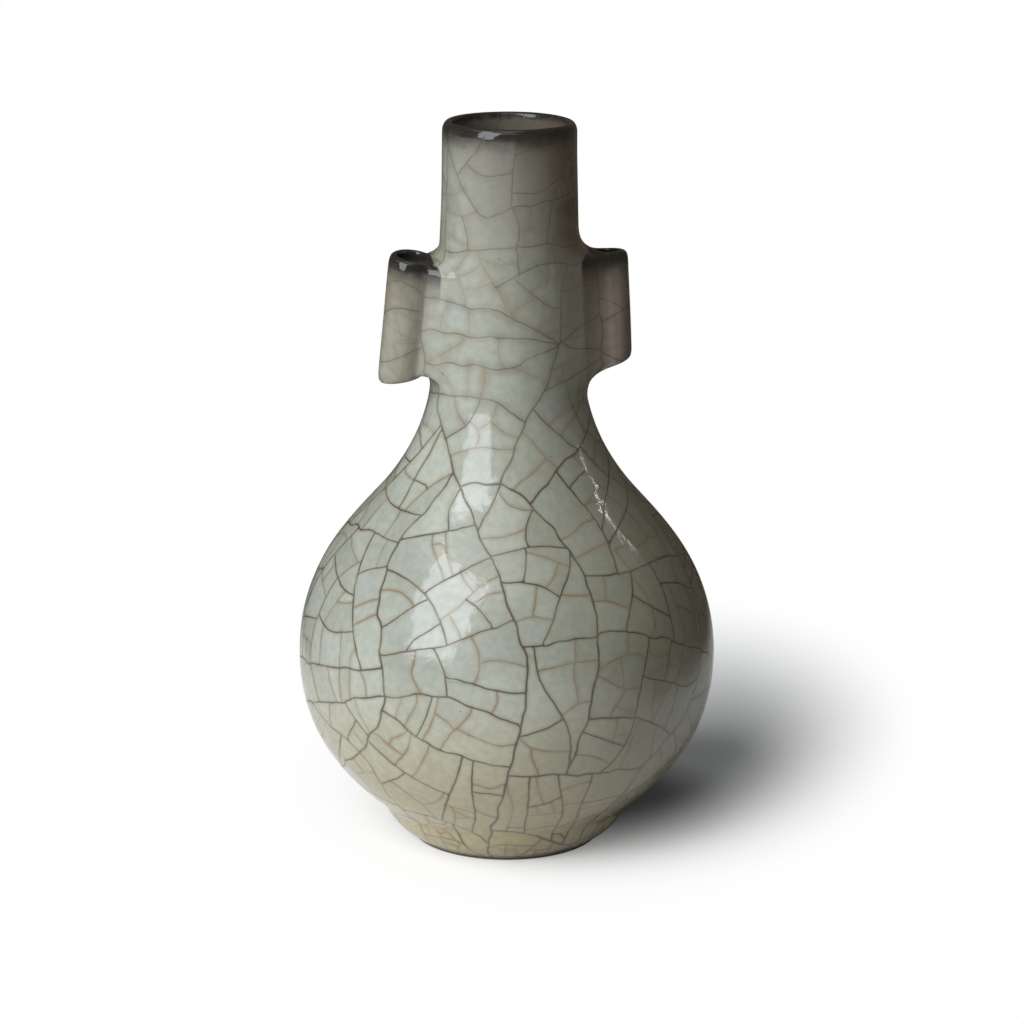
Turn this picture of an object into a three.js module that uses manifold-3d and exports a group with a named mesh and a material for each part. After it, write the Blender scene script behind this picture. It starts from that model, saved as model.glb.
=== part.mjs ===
// A crackle-glazed celadon bottle vase with two tubular lugs on its neck.
//
// Millimetres, +Z up. The origin is the centre of the circle that the foot rests on,
// and the lugs stand on -X and +X. The vase is potted in separate pieces: a turned
// foot ring, a lower bowl, an upper dome with its shoulder, a neck, and two lugs.

import * as THREE from "three";
import { mergeVertices } from "three/addons/utils/BufferGeometryUtils.js";
import Module from "manifold-3d";

const wasm = await Module();
wasm.setup();

// Heights, stacked upwards from the resting surface
const FOOT_HEIGHT = 10;
const BELLY_RISE = 46;
const SHOULDER_RISE = 50;
const NECK_ROOT_RISE = 24;
const NECK_HEIGHT = 80;

// Outer radii at the ends of each curve
const BODY_FOOT_RADIUS = 36;
const BELLY_RADIUS = 60.4;
const SHOULDER_RADIUS = 35;
const NECK_ROOT_RADIUS = 23;
const LIP_RADIUS = 18.8;

// Lean of the outline from upright, in degrees, where the curves meet
const FOOT_FLARE_ANGLE = 32;
const SHOULDER_ANGLE = 38.5;
const NECK_ROOT_ANGLE = 14;

// How far each curve keeps its direction at its two ends
const BOWL_START_PULL = 5;
const BOWL_END_PULL = 31;
const DOME_START_PULL = 26;
const DOME_END_PULL = 12;
const SHOULDER_START_PULL = 9.5;
const SHOULDER_END_PULL = 9.5;
const NECK_START_PULL = 6;
const NECK_END_PULL = 30;

// Clay walls
const FLOOR_THICKNESS = 5;
const FLOOR_FILLET = 6;
const BODY_WALL = 4.2;
const NECK_ROOT_WALL = 3.8;
const LIP_WALL = 2.3;

// Foot ring: a cone turned inwards, with a narrow rounded rim to stand on
const FOOT_RIM_RADIUS = 27.6;
const FOOT_RIM_WIDTH = 5;
const FOOT_EDGE_ROUND = 1.1;
const FOOT_CONE_SWELL = 0.7;
const FOOT_RECESS_DRAFT = 1.2;

// Lugs: open tubes that stand off the neck on a web of clay
const LUG_MOUTH_BELOW_LIP = 37.6;
const LUG_SPREAD = 27.7;
const LUG_TUBE_RADIUS = 6.4;
const LUG_BORE_RADIUS = 4.6;
const LUG_WEB_HALF_WIDTH = 5.2;
const LUG_WEB_SETBACK = 1.2;
const LUG_FILLET = 4;
const LUTING_GAP = 0.3;

// What each lug has of its own: its length, how far its lower end splays out, how far
// its mouth rises towards +Y and how far its heel rises away from the neck, in degrees
const LEFT_LUG_LENGTH = 36;
const LEFT_LUG_SPLAY = 5.5;
const LEFT_LUG_MOUTH_SLANT = 10;
const LEFT_LUG_HEEL_SLANT = -14;
const RIGHT_LUG_LENGTH = 33;
const RIGHT_LUG_SPLAY = 3;
const RIGHT_LUG_MOUTH_SLANT = -3;
const RIGHT_LUG_HEEL_SLANT = 12;

// Fineness of the facets
const WHEEL_SIDES = 64;
const LUG_SIDES = 20;
const WALL_STEPS = 8;
const ROUND_STEPS = 4;
const WELD_DISTANCE = 1e-4;

// Levels worked out from the rises
const BELLY_LEVEL = FOOT_HEIGHT + BELLY_RISE;
const SHOULDER_LEVEL = BELLY_LEVEL + SHOULDER_RISE;
const NECK_ROOT_LEVEL = SHOULDER_LEVEL + NECK_ROOT_RISE;
const LIP_LEVEL = NECK_ROOT_LEVEL + NECK_HEIGHT;
const LUG_MOUTH_LEVEL = LIP_LEVEL - LUG_MOUTH_BELOW_LIP;

const UPRIGHT = new THREE.Vector2(0, 1);

// Direction that leans from upright towards the axis by an angle in degrees
function leaning(degrees) {
  const angle = THREE.MathUtils.degToRad(degrees);
  return new THREE.Vector2(-Math.sin(angle), Math.cos(angle));
}

// Curve between two points that keeps a given direction at each end
function throwingCurve(start, startDirection, startPull, end, endDirection, endPull) {
  const first = start.clone().addScaledVector(startDirection, startPull);
  const last = end.clone().addScaledVector(endDirection, -endPull);
  return new THREE.CubicBezierCurve(start, first, last, end);
}

// Outline of the vase as four curves that run into each other
function outlineCurves() {
  const foot = new THREE.Vector2(BODY_FOOT_RADIUS, FOOT_HEIGHT);
  const belly = new THREE.Vector2(BELLY_RADIUS, BELLY_LEVEL);
  const shoulder = new THREE.Vector2(SHOULDER_RADIUS, SHOULDER_LEVEL);
  const root = new THREE.Vector2(NECK_ROOT_RADIUS, NECK_ROOT_LEVEL);
  const lip = new THREE.Vector2(LIP_RADIUS, LIP_LEVEL - LIP_WALL / 2);
  const flare = leaning(-FOOT_FLARE_ANGLE);
  const slope = leaning(SHOULDER_ANGLE);
  const taper = leaning(NECK_ROOT_ANGLE);
  return {
    bowl: throwingCurve(foot, flare, BOWL_START_PULL, belly, UPRIGHT, BOWL_END_PULL),
    dome: throwingCurve(belly, UPRIGHT, DOME_START_PULL, shoulder, slope, DOME_END_PULL),
    shoulder: throwingCurve(shoulder, slope, SHOULDER_START_PULL, root, taper, SHOULDER_END_PULL),
    neck: throwingCurve(root, taper, NECK_START_PULL, lip, UPRIGHT, NECK_END_PULL),
  };
}

const OUTLINE = outlineCurves();

// Inner face of a wall, set in square to the curve; a seam or a lip is level
function insideOf(curve, wallAtStart, wallAtEnd, levelStart, levelEnd) {
  const points = [];
  for (let step = 0; step <= WALL_STEPS; step += 1) {
    const t = step / WALL_STEPS;
    const wall = THREE.MathUtils.lerp(wallAtStart, wallAtEnd, t);
    const along = curve.getTangent(t);
    const level = (levelStart && step === 0) || (levelEnd && step === WALL_STEPS);
    const inward = level ? new THREE.Vector2(-1, 0) : new THREE.Vector2(-along.y, along.x);
    points.push(curve.getPoint(t).addScaledVector(inward, wall));
  }
  return points;
}

// Points of an arc about a centre, from one angle to another in degrees
function arcPoints(centreX, centreY, radius, fromDegrees, toDegrees) {
  const from = THREE.MathUtils.degToRad(fromDegrees);
  const to = THREE.MathUtils.degToRad(toDegrees);
  const arc = new THREE.EllipseCurve(centreX, centreY, radius, radius, from, to, to < from);
  return arc.getPoints(ROUND_STEPS);
}

// Profile without points that repeat the one before them
function tidyProfile(points) {
  return points.filter((point, index) => {
    return index === 0 || point.distanceTo(points[index - 1]) > WELD_DISTANCE;
  });
}

// Body turned on the wheel: a profile of radius and height, spun about +Z
function turned(points, sides = WHEEL_SIDES) {
  return weld(new THREE.LatheGeometry(tidyProfile(points), sides).rotateX(Math.PI / 2));
}

// Joins shared corners and drops the triangles that shrink to a line on the axis
function weld(geometry) {
  const bare = geometry.clone();
  bare.deleteAttribute("normal");
  bare.deleteAttribute("uv");
  const welded = mergeVertices(bare, WELD_DISTANCE);
  const corners = welded.getIndex().array;
  const kept = [];
  for (let i = 0; i < corners.length; i += 3) {
    const [a, b, c] = [corners[i], corners[i + 1], corners[i + 2]];
    if (a !== b && b !== c && c !== a) {
      kept.push(a, b, c);
    }
  }
  welded.setIndex(kept);
  return welded;
}

function toSolid(geometry) {
  const closed = weld(geometry);
  const vertProperties = Float32Array.from(closed.getAttribute("position").array);
  const triVerts = Uint32Array.from(closed.getIndex().array);
  return new wasm.Manifold(new wasm.Mesh({ numProp: 3, vertProperties, triVerts }));
}

function toGeometry(solid) {
  const mesh = solid.getMesh();
  const geometry = new THREE.BufferGeometry();
  geometry.setAttribute("position", new THREE.BufferAttribute(mesh.vertProperties, 3));
  geometry.setIndex(new THREE.BufferAttribute(mesh.triVerts, 1));
  return geometry;
}

function footRing() {
  const rimInner = FOOT_RIM_RADIUS - FOOT_RIM_WIDTH;
  const round = FOOT_EDGE_ROUND;
  const top = new THREE.Vector2(BODY_FOOT_RADIUS, FOOT_HEIGHT);
  const bottom = new THREE.Vector2(FOOT_RIM_RADIUS, round);
  const middle = top.clone().lerp(bottom, 0.5);
  middle.add(new THREE.Vector2(2 * FOOT_CONE_SWELL, -2 * FOOT_CONE_SWELL));
  const cone = new THREE.QuadraticBezierCurve(bottom, middle, top);
  const ringTop = new THREE.Vector2(rimInner - FOOT_RECESS_DRAFT, FOOT_HEIGHT);
  const profile = [
    ...arcPoints(rimInner + round, round, round, 180, 270),
    ...arcPoints(FOOT_RIM_RADIUS - round, round, round, 270, 360),
    ...cone.getPoints(ROUND_STEPS),
    ringTop,
    new THREE.Vector2(rimInner, round),
  ];
  return turned(profile);
}

function lowerBody() {
  const floor = FOOT_HEIGHT + FLOOR_THICKNESS;
  const inside = insideOf(OUTLINE.bowl, BODY_WALL, BODY_WALL, false, true);
  const wall = inside.filter((point) => point.y > floor + FLOOR_FILLET / 2);
  const lowest = wall[0];
  const foot = new THREE.Vector2(lowest.x - FLOOR_FILLET, floor);
  const corner = new THREE.Vector2(lowest.x - (lowest.y - floor) / 2, floor);
  const hollow = new THREE.QuadraticBezierCurve(lowest, corner, foot).getPoints(ROUND_STEPS);
  const profile = [
    new THREE.Vector2(0, FOOT_HEIGHT),
    ...OUTLINE.bowl.getPoints(WALL_STEPS + ROUND_STEPS),
    ...wall.reverse(),
    ...hollow,
    new THREE.Vector2(0, floor),
  ];
  return turned(profile);
}

function upperBody() {
  const profile = [
    ...OUTLINE.dome.getPoints(WALL_STEPS),
    ...OUTLINE.shoulder.getPoints(ROUND_STEPS),
    ...insideOf(OUTLINE.shoulder, BODY_WALL, NECK_ROOT_WALL, false, true).reverse(),
    ...insideOf(OUTLINE.dome, BODY_WALL, BODY_WALL, true, false).reverse(),
    new THREE.Vector2(BELLY_RADIUS, BELLY_LEVEL),
  ];
  return turned(profile);
}

function neck() {
  const round = LIP_WALL / 2;
  const middle = LIP_RADIUS - round;
  const profile = [
    ...OUTLINE.neck.getPoints(WALL_STEPS),
    ...arcPoints(middle, LIP_LEVEL - round, round, 0, 180),
    ...insideOf(OUTLINE.neck, NECK_ROOT_WALL, LIP_WALL, true, true).reverse(),
    new THREE.Vector2(NECK_ROOT_RADIUS, NECK_ROOT_LEVEL),
  ];
  return turned(profile);
}

// Everything that the bowl, dome, shoulder and neck fill, grown by the luting gap
function vesselCutter() {
  const grow = (curve) => {
    const points = curve.getPoints(WALL_STEPS);
    return points.map((point) => new THREE.Vector2(point.x + LUTING_GAP, point.y));
  };
  const profile = [
    new THREE.Vector2(0, FOOT_HEIGHT),
    ...grow(OUTLINE.bowl),
    ...grow(OUTLINE.dome),
    ...grow(OUTLINE.shoulder),
    ...grow(OUTLINE.neck),
    new THREE.Vector2(LIP_RADIUS + LUTING_GAP, LIP_LEVEL),
    new THREE.Vector2(0, LIP_LEVEL),
  ];
  return toSolid(turned(profile));
}

// Open tube with rounded lips, hanging down from its mouth at the origin
function lugTube(length, mouthSlant, heelSlant) {
  const round = (LUG_TUBE_RADIUS - LUG_BORE_RADIUS) / 2;
  const middle = LUG_TUBE_RADIUS - round;
  const profile = [
    ...arcPoints(middle, -length + round, round, -180, 0),
    ...arcPoints(middle, -round, round, 0, 180),
    new THREE.Vector2(LUG_BORE_RADIUS, -length + round),
  ];
  const tube = turned(profile, LUG_SIDES);
  const mouthRise = Math.tan(THREE.MathUtils.degToRad(mouthSlant));
  const heelRise = Math.tan(THREE.MathUtils.degToRad(heelSlant));
  const corners = tube.getAttribute("position");
  for (let i = 0; i < corners.count; i += 1) {
    const nearMouth = corners.getZ(i) > -length / 2;
    const lift = nearMouth ? mouthRise * corners.getY(i) : heelRise * corners.getX(i);
    corners.setZ(i, corners.getZ(i) + lift);
  }
  return toSolid(tube);
}

// Outer radius of the neck at a level, read off its curve
function neckRadiusAt(level) {
  const points = OUTLINE.neck.getPoints(WALL_STEPS);
  const found = points.findIndex((point) => point.y > level);
  const above = found < 0 ? WALL_STEPS : Math.max(1, found);
  const [low, high] = [points[above - 1], points[above]];
  return THREE.MathUtils.mapLinear(level, low.y, high.y, low.x, high.x);
}

// Plan of the web: straight beside the tube, then a fillet that runs into the neck
function webPlan(length) {
  const neckRadius = neckRadiusAt(LUG_MOUTH_LEVEL - length / 2);
  const half = LUG_WEB_HALF_WIDTH;
  const filletOut = half + LUG_FILLET;
  const filletIn = Math.sqrt((neckRadius + LUG_FILLET) ** 2 - filletOut ** 2);
  const turn = Math.atan2(filletOut, filletIn);
  const shape = new THREE.Shape();
  shape.moveTo(0, 0);
  shape.absarc(filletIn, -filletOut, LUG_FILLET, Math.PI - turn, Math.PI / 2, true);
  shape.lineTo(LUG_SPREAD, -half);
  shape.lineTo(LUG_SPREAD, half);
  shape.absarc(filletIn, filletOut, LUG_FILLET, -Math.PI / 2, turn - Math.PI, true);
  return shape;
}

// Side view of the web: as deep as the tube, with fillets up and down the neck
function webSide(length) {
  const top = -LUG_WEB_SETBACK;
  const bottom = LUG_WEB_SETBACK - length;
  const upper = neckRadiusAt(LUG_MOUTH_LEVEL + top + LUG_FILLET) + LUG_FILLET;
  const lower = neckRadiusAt(LUG_MOUTH_LEVEL + bottom - LUG_FILLET) + LUG_FILLET;
  const shape = new THREE.Shape();
  shape.moveTo(0, bottom - LUG_FILLET);
  shape.absarc(lower, bottom - LUG_FILLET, LUG_FILLET, Math.PI, Math.PI / 2, true);
  shape.lineTo(LUG_SPREAD, bottom);
  shape.lineTo(LUG_SPREAD, top);
  shape.absarc(upper, top + LUG_FILLET, LUG_FILLET, -Math.PI / 2, -Math.PI, true);
  shape.lineTo(0, top + LUG_FILLET);
  return shape;
}

// Web of clay between tube and neck, where its plan and its side view cross
function lugWeb(length) {
  const reach = length + 4 * LUG_FILLET;
  const width = 2 * (LUG_WEB_HALF_WIDTH + 2 * LUG_FILLET);
  const options = { bevelEnabled: false, curveSegments: ROUND_STEPS };
  const plan = new THREE.ExtrudeGeometry(webPlan(length), { ...options, depth: reach });
  plan.translate(0, 0, 2 * LUG_FILLET - reach);
  const side = new THREE.ExtrudeGeometry(webSide(length), { ...options, depth: width });
  side.translate(0, 0, -width / 2).rotateX(Math.PI / 2);
  return toSolid(plan).intersect(toSolid(side));
}

// Room for the tube: the web stops halfway through the wall of the tube
function lugCore(length) {
  const middle = (LUG_TUBE_RADIUS + LUG_BORE_RADIUS) / 2;
  const reach = length + 4 * LUG_FILLET;
  const core = new THREE.CylinderGeometry(middle, middle, reach, LUG_SIDES);
  core.rotateX(Math.PI / 2).translate(0, 0, -length / 2);
  return toSolid(core);
}

// One lug: tube and web in one, splayed, and scribed to the neck with a luting gap
function lug(side, length, splay, mouthSlant, heelSlant) {
  const hang = new THREE.Matrix4().makeRotationY(THREE.MathUtils.degToRad(-splay));
  hang.setPosition(LUG_SPREAD, 0, LUG_MOUTH_LEVEL);
  const core = toGeometry(lugCore(length)).applyMatrix4(hang);
  const tube = toGeometry(lugTube(length, mouthSlant * side, heelSlant)).applyMatrix4(hang);
  const web = toGeometry(lugWeb(length)).translate(0, 0, LUG_MOUTH_LEVEL);
  const joined = toSolid(web).subtract(toSolid(core)).add(toSolid(tube));
  const scribed = toGeometry(joined.subtract(vesselCutter()));
  return side < 0 ? scribed.rotateZ(Math.PI) : scribed;
}

const GLAZE_COLOUR = 0xa6a999;
const GLAZE_ROUGHNESS = 0.16;

// Celadon glaze over the clay; the foot is warmer and the neck a little greyer
function glaze(tint) {
  const color = new THREE.Color(GLAZE_COLOUR).multiply(new THREE.Color(tint));
  return new THREE.MeshStandardMaterial({ color, roughness: GLAZE_ROUGHNESS, metalness: 0 });
}

function piece(name, geometry, tint) {
  const mesh = new THREE.Mesh(geometry, glaze(tint));
  mesh.name = name;
  return mesh;
}

const vase = new THREE.Group();
vase.name = "bottle_vase";
vase.add(piece("foot_ring", footRing(), 0xf2e6cc));
vase.add(piece("lower_body", lowerBody(), 0xffffff));
vase.add(piece("upper_body", upperBody(), 0xffffff));
vase.add(piece("neck", neck(), 0xf4f1ec));
const leftLug = lug(-1, LEFT_LUG_LENGTH, LEFT_LUG_SPLAY, LEFT_LUG_MOUTH_SLANT, LEFT_LUG_HEEL_SLANT);
const rightLug = lug(1, RIGHT_LUG_LENGTH, RIGHT_LUG_SPLAY, RIGHT_LUG_MOUTH_SLANT, RIGHT_LUG_HEEL_SLANT);
vase.add(piece("left_lug", leftLug, 0xece8e2));
vase.add(piece("right_lug", rightLug, 0xece8e2));

export default vase;
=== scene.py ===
# %% [markdown]
# # A crackle-glazed bottle vase
#
# The vase is stoneware, thrown in sections, luted together, dipped in a thick celadon
# glaze and fired. As it cooled the glaze shrank more than the clay, and it cracked.
# Three things make it read as itself: the pear outline with two tubular lugs that melt
# into the neck, the crackle in two sizes, and a glaze that runs thin and dark at the rims.
#
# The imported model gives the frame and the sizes. The visible skin is modelled here, over
# the plain solids, because the glaze softens every joint that the solids keep crisp.

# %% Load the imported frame
import math
import random

import bmesh
import bpy
import numpy as np
from mathutils import Matrix, Vector, kdtree, noise


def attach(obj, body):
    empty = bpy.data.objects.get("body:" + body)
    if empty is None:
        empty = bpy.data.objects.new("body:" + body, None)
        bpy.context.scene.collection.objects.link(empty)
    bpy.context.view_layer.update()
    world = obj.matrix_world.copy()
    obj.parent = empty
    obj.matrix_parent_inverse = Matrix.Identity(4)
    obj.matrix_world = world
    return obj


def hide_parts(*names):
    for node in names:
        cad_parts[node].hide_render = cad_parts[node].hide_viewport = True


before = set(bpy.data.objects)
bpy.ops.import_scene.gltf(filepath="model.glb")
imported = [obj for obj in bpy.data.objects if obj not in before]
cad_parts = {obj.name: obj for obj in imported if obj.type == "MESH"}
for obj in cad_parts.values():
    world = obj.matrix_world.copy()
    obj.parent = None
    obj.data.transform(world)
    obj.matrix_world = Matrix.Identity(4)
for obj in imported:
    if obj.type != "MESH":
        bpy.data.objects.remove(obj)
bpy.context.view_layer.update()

MM = 0.001

# %% [markdown]
# ## The outline
#
# A thrown form is its outline, spun. It could be traced as one long curve, but a potter
# works by sections, and so does this cell: bowl, dome, shoulder and neck, each a curve
# that leaves one level at a given lean and meets the next level at another. The inside
# follows the outside at the thickness of the wall.

# %% Outline of the vase, in millimetres
FOOT_LEVEL, FLOOR_LEVEL = 10, 15
BELLY_LEVEL, SHOULDER_LEVEL, ROOT_LEVEL, LIP_LEVEL = 56, 106, 130, 210
FOOT_RADIUS, BELLY_RADIUS, SHOULDER_RADIUS, ROOT_RADIUS, LIP_RADIUS = 36, 60.4, 35, 23, 19.2
RIM_RADIUS, RIM_WIDTH, RIM_ROUND = 27.6, 5, 1.1
BODY_WALL, ROOT_WALL, LIP_WALL = 4.2, 3.8, 3.2
LIP_SHOULDER, LIP_TOP = 3.2, 1.9
POINT_SPACING = 0.5


def leaning(degrees):
    """Direction that leans from upright towards the axis."""
    angle = math.radians(degrees)
    return np.array([-math.sin(angle), math.cos(angle)])


def throwing_curve(start, start_lean, start_pull, end, end_lean, end_pull):
    """Points of a curve between two levels that keeps its lean at both ends."""
    start, end = np.array(start, float), np.array(end, float)
    first = start + start_pull * leaning(start_lean)
    last = end - end_pull * leaning(end_lean)
    steps = round(float(np.linalg.norm(end - start)) / POINT_SPACING)
    t = np.linspace(0, 1, steps + 1)[:, None]
    return (1 - t) ** 3 * start + 3 * (1 - t) ** 2 * t * first + 3 * (1 - t) * t**2 * last + t**3 * end


def bowed(start, middle, end, t):
    """Points of a simple curve that leaves its start and its end towards the middle point."""
    t = t[:, None]
    return (1 - t) ** 2 * start + 2 * (1 - t) * t * middle + t**2 * end


def arc(centre, radius, from_degrees, to_degrees, steps=10):
    """Points of a round edge."""
    angles = np.radians(np.linspace(from_degrees, to_degrees, steps + 1))
    return np.stack([centre[0] + radius * np.cos(angles), centre[1] + radius * np.sin(angles)], 1)


bowl = throwing_curve((FOOT_RADIUS, FOOT_LEVEL), -32, 5, (BELLY_RADIUS, BELLY_LEVEL), 0, 31)
dome = throwing_curve((BELLY_RADIUS, BELLY_LEVEL), 0, 26, (SHOULDER_RADIUS, SHOULDER_LEVEL), 38.5, 12)
shoulder = throwing_curve((SHOULDER_RADIUS, SHOULDER_LEVEL), 38.5, 9.5, (ROOT_RADIUS, ROOT_LEVEL), 14, 9.5)
neck = throwing_curve((ROOT_RADIUS, ROOT_LEVEL), 14, 6, (LIP_RADIUS, LIP_LEVEL - LIP_SHOULDER), 0, 30)
outside = np.concatenate([bowl, dome[1:], shoulder[1:], neck[1:]])


def outer_radius(level):
    """Radius of the outline at a level, or at many, in millimetres."""
    return np.interp(level, outside[:, 1], outside[:, 0])


def inside_of(line):
    """The inner face of the wall, square to the outer one."""
    along = np.gradient(line, axis=0)
    along /= np.linalg.norm(along, axis=1)[:, None]
    levels = [FOOT_LEVEL, SHOULDER_LEVEL, ROOT_LEVEL, LIP_LEVEL]
    wall = np.interp(line[:, 1], levels, [BODY_WALL, BODY_WALL, ROOT_WALL, LIP_WALL])
    return line + np.stack([-along[:, 1], along[:, 0]], 1) * wall[:, None]


def foot_outline():
    """Recess, resting rim and cone of the foot, from the axis outwards."""
    inner = RIM_RADIUS - RIM_WIDTH
    ceiling = [[0, FOOT_LEVEL + 1.2], [8, FOOT_LEVEL + 1.1], [16, FOOT_LEVEL + 0.7]]
    corner = arc((inner - 4.2, FOOT_LEVEL - 2.6), 3, 90, 0)
    rim = np.concatenate([
        arc((inner + RIM_ROUND, RIM_ROUND), RIM_ROUND, 180, 270),
        arc((RIM_RADIUS - RIM_ROUND, RIM_ROUND), RIM_ROUND, 270, 340),
    ])
    top, bottom = np.array([FOOT_RADIUS, FOOT_LEVEL]), np.array([RIM_RADIUS, RIM_ROUND])
    bulge = (top + bottom) / 2 + [1.4, -1.4]
    cone = bowed(bottom, bulge, top, np.linspace(0.06, 0.95, 12))
    return np.concatenate([ceiling, corner, rim, cone])


def vessel_outline():
    """The whole section with the clay on its left, from the base to the floor inside."""
    wall = [point for point in inside_of(outside)[::-1] if point[1] > FLOOR_LEVEL + 6]
    low = wall[-1]
    corner, foot = np.array([low[0] - 3, FLOOR_LEVEL + 0.4]), np.array([low[0] - 13, FLOOR_LEVEL])
    fillet = bowed(low, corner, foot, np.linspace(0, 1, 12)[1:])
    floor = [[12, FLOOR_LEVEL - 0.1], [0, FLOOR_LEVEL - 0.1]]
    turn = arc((0, 0), 1, 0, 90, 12)[1:]
    round_out = (LIP_RADIUS, LIP_LEVEL) + (turn - 1) * (LIP_TOP, LIP_SHOULDER)
    inner = LIP_WALL - LIP_TOP
    round_in = (LIP_RADIUS - LIP_TOP, LIP_LEVEL) - (turn[:, ::-1] * (1, -1) + (0, 1)) * inner
    lip = np.concatenate([round_out, round_in])
    return np.concatenate([foot_outline(), outside, lip, wall[1:], fillet, floor])


section = vessel_outline()
print("outline:", len(section), "points,", section[:, 1].max(), "mm tall")

# %% [markdown]
# ## The clay
#
# The section is drawn as a wire and spun, like clay under a template. Each lug is an open
# tube on a web of clay, and each has a web width and a fillet of its own. They could be
# joined with booleans, which leave a sharp crease and long thin faces. Vessel and lugs are
# fused by a voxel remesh instead, as wet clay is fused: it gives even faces everywhere, and
# the true shape is pressed back into them next. The remesh needs a closed lump, so the
# mouth is plugged for it, and the inside is lined ring by ring when the plug is out.

# %% Throw the vessel and make the lugs
SPIN_STEPS = 160
VOXEL = 0.9 * MM
PLUG_LEVEL = 196
LUG_MOUTH, LUG_SPREAD = 172.4, 27.7
TUBE_MIDDLE, TUBE_ROUND, TUBE_TUCK, TUCK_REACH = 5.4, 1.15, 0.7, 3.2
WEB_FLARE, WEB_SETBACK, WEB_INNER = 3.8, 1.2, 18.6

LUGS = {
    "left": {
        "side": -1, "length": 36, "splay": 5.5, "mouth_slant": 10, "heel_slant": -14, "web": 5.0, "melt": 4.8,
    },
    "right": {
        "side": 1, "length": 33, "splay": 3, "mouth_slant": -3, "heel_slant": 12, "web": 6.4, "melt": 9.0,
    },
}


def deselect():
    if bpy.context.mode != "OBJECT":
        bpy.ops.object.mode_set(mode="OBJECT")
    bpy.ops.object.select_all(action="DESELECT")


def spun(name, outline, steps):
    """A wire of (radius, height) points, spun round Z into a skin."""
    deselect()
    bpy.ops.mesh.primitive_circle_add(vertices=len(outline), radius=MM)
    piece = bpy.context.object
    piece.name = name
    for vertex, (radius, height) in zip(piece.data.vertices, outline):
        vertex.co = (radius * MM, 0, height * MM)
    bpy.ops.object.mode_set(mode="EDIT")
    bpy.ops.mesh.select_all(action="SELECT")
    bpy.ops.mesh.spin(steps=steps, angle=2 * math.pi, center=(0, 0, 0), axis=(0, 0, 1))
    bpy.ops.mesh.select_all(action="SELECT")
    bpy.ops.mesh.remove_doubles(threshold=0.01 * MM)
    bpy.ops.mesh.delete_loose(use_verts=True, use_edges=True, use_faces=False)
    bpy.ops.mesh.select_all(action="SELECT")
    bpy.ops.mesh.normals_make_consistent(inside=False)
    bpy.ops.object.mode_set(mode="OBJECT")
    return piece


def facing(lug):
    """Turns a lug made on +X to its own side."""
    return Matrix.Rotation(math.pi if lug["side"] < 0 else 0, 4, "Z")


def lug_placing(lug):
    """Where a lug's mouth stands, with the tube hanging down from it and splayed out."""
    splay = Matrix.Rotation(-math.radians(lug["splay"]), 4, "Y")
    return facing(lug) @ Matrix.Translation((LUG_SPREAD * MM, 0, LUG_MOUTH * MM)) @ splay


def lug_slopes(lug):
    """How steeply the mouth rises towards +Y, and the heel away from the neck."""
    mouth = math.tan(math.radians(lug["mouth_slant"] * lug["side"]))
    return mouth, math.tan(math.radians(lug["heel_slant"]))


def lug_tube(name, lug):
    """An open tube with rounded lips, its mouth and heel cut a little out of square."""
    low, high = -lug["length"] + TUBE_ROUND, -TUBE_ROUND
    ring = np.concatenate([
        arc((TUBE_MIDDLE, low), TUBE_ROUND, -180, 0, 6),
        arc((TUBE_MIDDLE, high), TUBE_ROUND, 0, 180, 6),
    ])
    tube = spun(name, ring, 40)
    mouth_rise, heel_rise = lug_slopes(lug)
    for vertex in tube.data.vertices:
        upper = vertex.co.z > -0.5 * lug["length"] * MM
        vertex.co.z += mouth_rise * vertex.co.y if upper else heel_rise * vertex.co.x
    tube.data.transform(lug_placing(lug))
    return tube


def lug_web(name, lug):
    """The web of clay that holds the tube, bored so that the tube stays open."""
    length = lug["length"] - 2 * WEB_SETBACK
    deselect()
    bpy.ops.mesh.primitive_cube_add(size=1)
    web = bpy.context.object
    web.name = name
    width = LUG_SPREAD - WEB_INNER
    web.data.transform(Matrix.Diagonal((width * MM, 2 * lug["web"] * MM, length * MM, 1)))
    middle = (WEB_INNER + width / 2, 0, LUG_MOUTH - lug["length"] / 2)
    for vertex in web.data.vertices:
        if vertex.co.x < 0:
            vertex.co.y *= 1 + WEB_FLARE / lug["web"]
    web.data.transform(Matrix.Translation(Vector(middle) * MM))
    web.data.transform(facing(lug))
    deselect()
    bpy.ops.mesh.primitive_cylinder_add(vertices=40, radius=TUBE_MIDDLE * MM, depth=80 * MM)
    drill = bpy.context.object
    drill.data.transform(lug_placing(lug))
    bore = web.modifiers.new("bore", "BOOLEAN")
    bore.object, bore.operation, bore.solver = drill, "DIFFERENCE", "EXACT"
    bpy.context.view_layer.objects.active = web
    bpy.ops.object.modifier_apply(modifier="bore")
    bpy.data.objects.remove(drill)
    return web


def fused(name, parts):
    """Parts joined into one mesh and remeshed as one lump of clay."""
    deselect()
    for part in parts:
        part.select_set(True)
    bpy.context.view_layer.objects.active = parts[0]
    bpy.ops.object.join()
    clay = bpy.context.object
    clay.name = name
    remesh = clay.modifiers.new("remesh", "REMESH")
    remesh.mode, remesh.voxel_size = "VOXEL", VOXEL
    bpy.ops.object.modifier_apply(modifier="remesh")
    return clay


lip_top = int(section[:, 1].argmax())
wall_below = np.flatnonzero((np.arange(len(section)) > lip_top) & (section[:, 1] < PLUG_LEVEL))
plugged = np.concatenate([section[: wall_below[0] : 2], [[0, PLUG_LEVEL]]])
parts = [spun("vessel", plugged, SPIN_STEPS)]
for side, lug in LUGS.items():
    parts += [lug_tube(side + "_tube", lug), lug_web(side + "_web", lug)]
clay = fused("clay", parts)
print("clay:", len(clay.data.polygons), "faces")

# %% Take the plug out of the mouth
MOUTH_CUT, MOUTH_REACH = 201, 17


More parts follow.
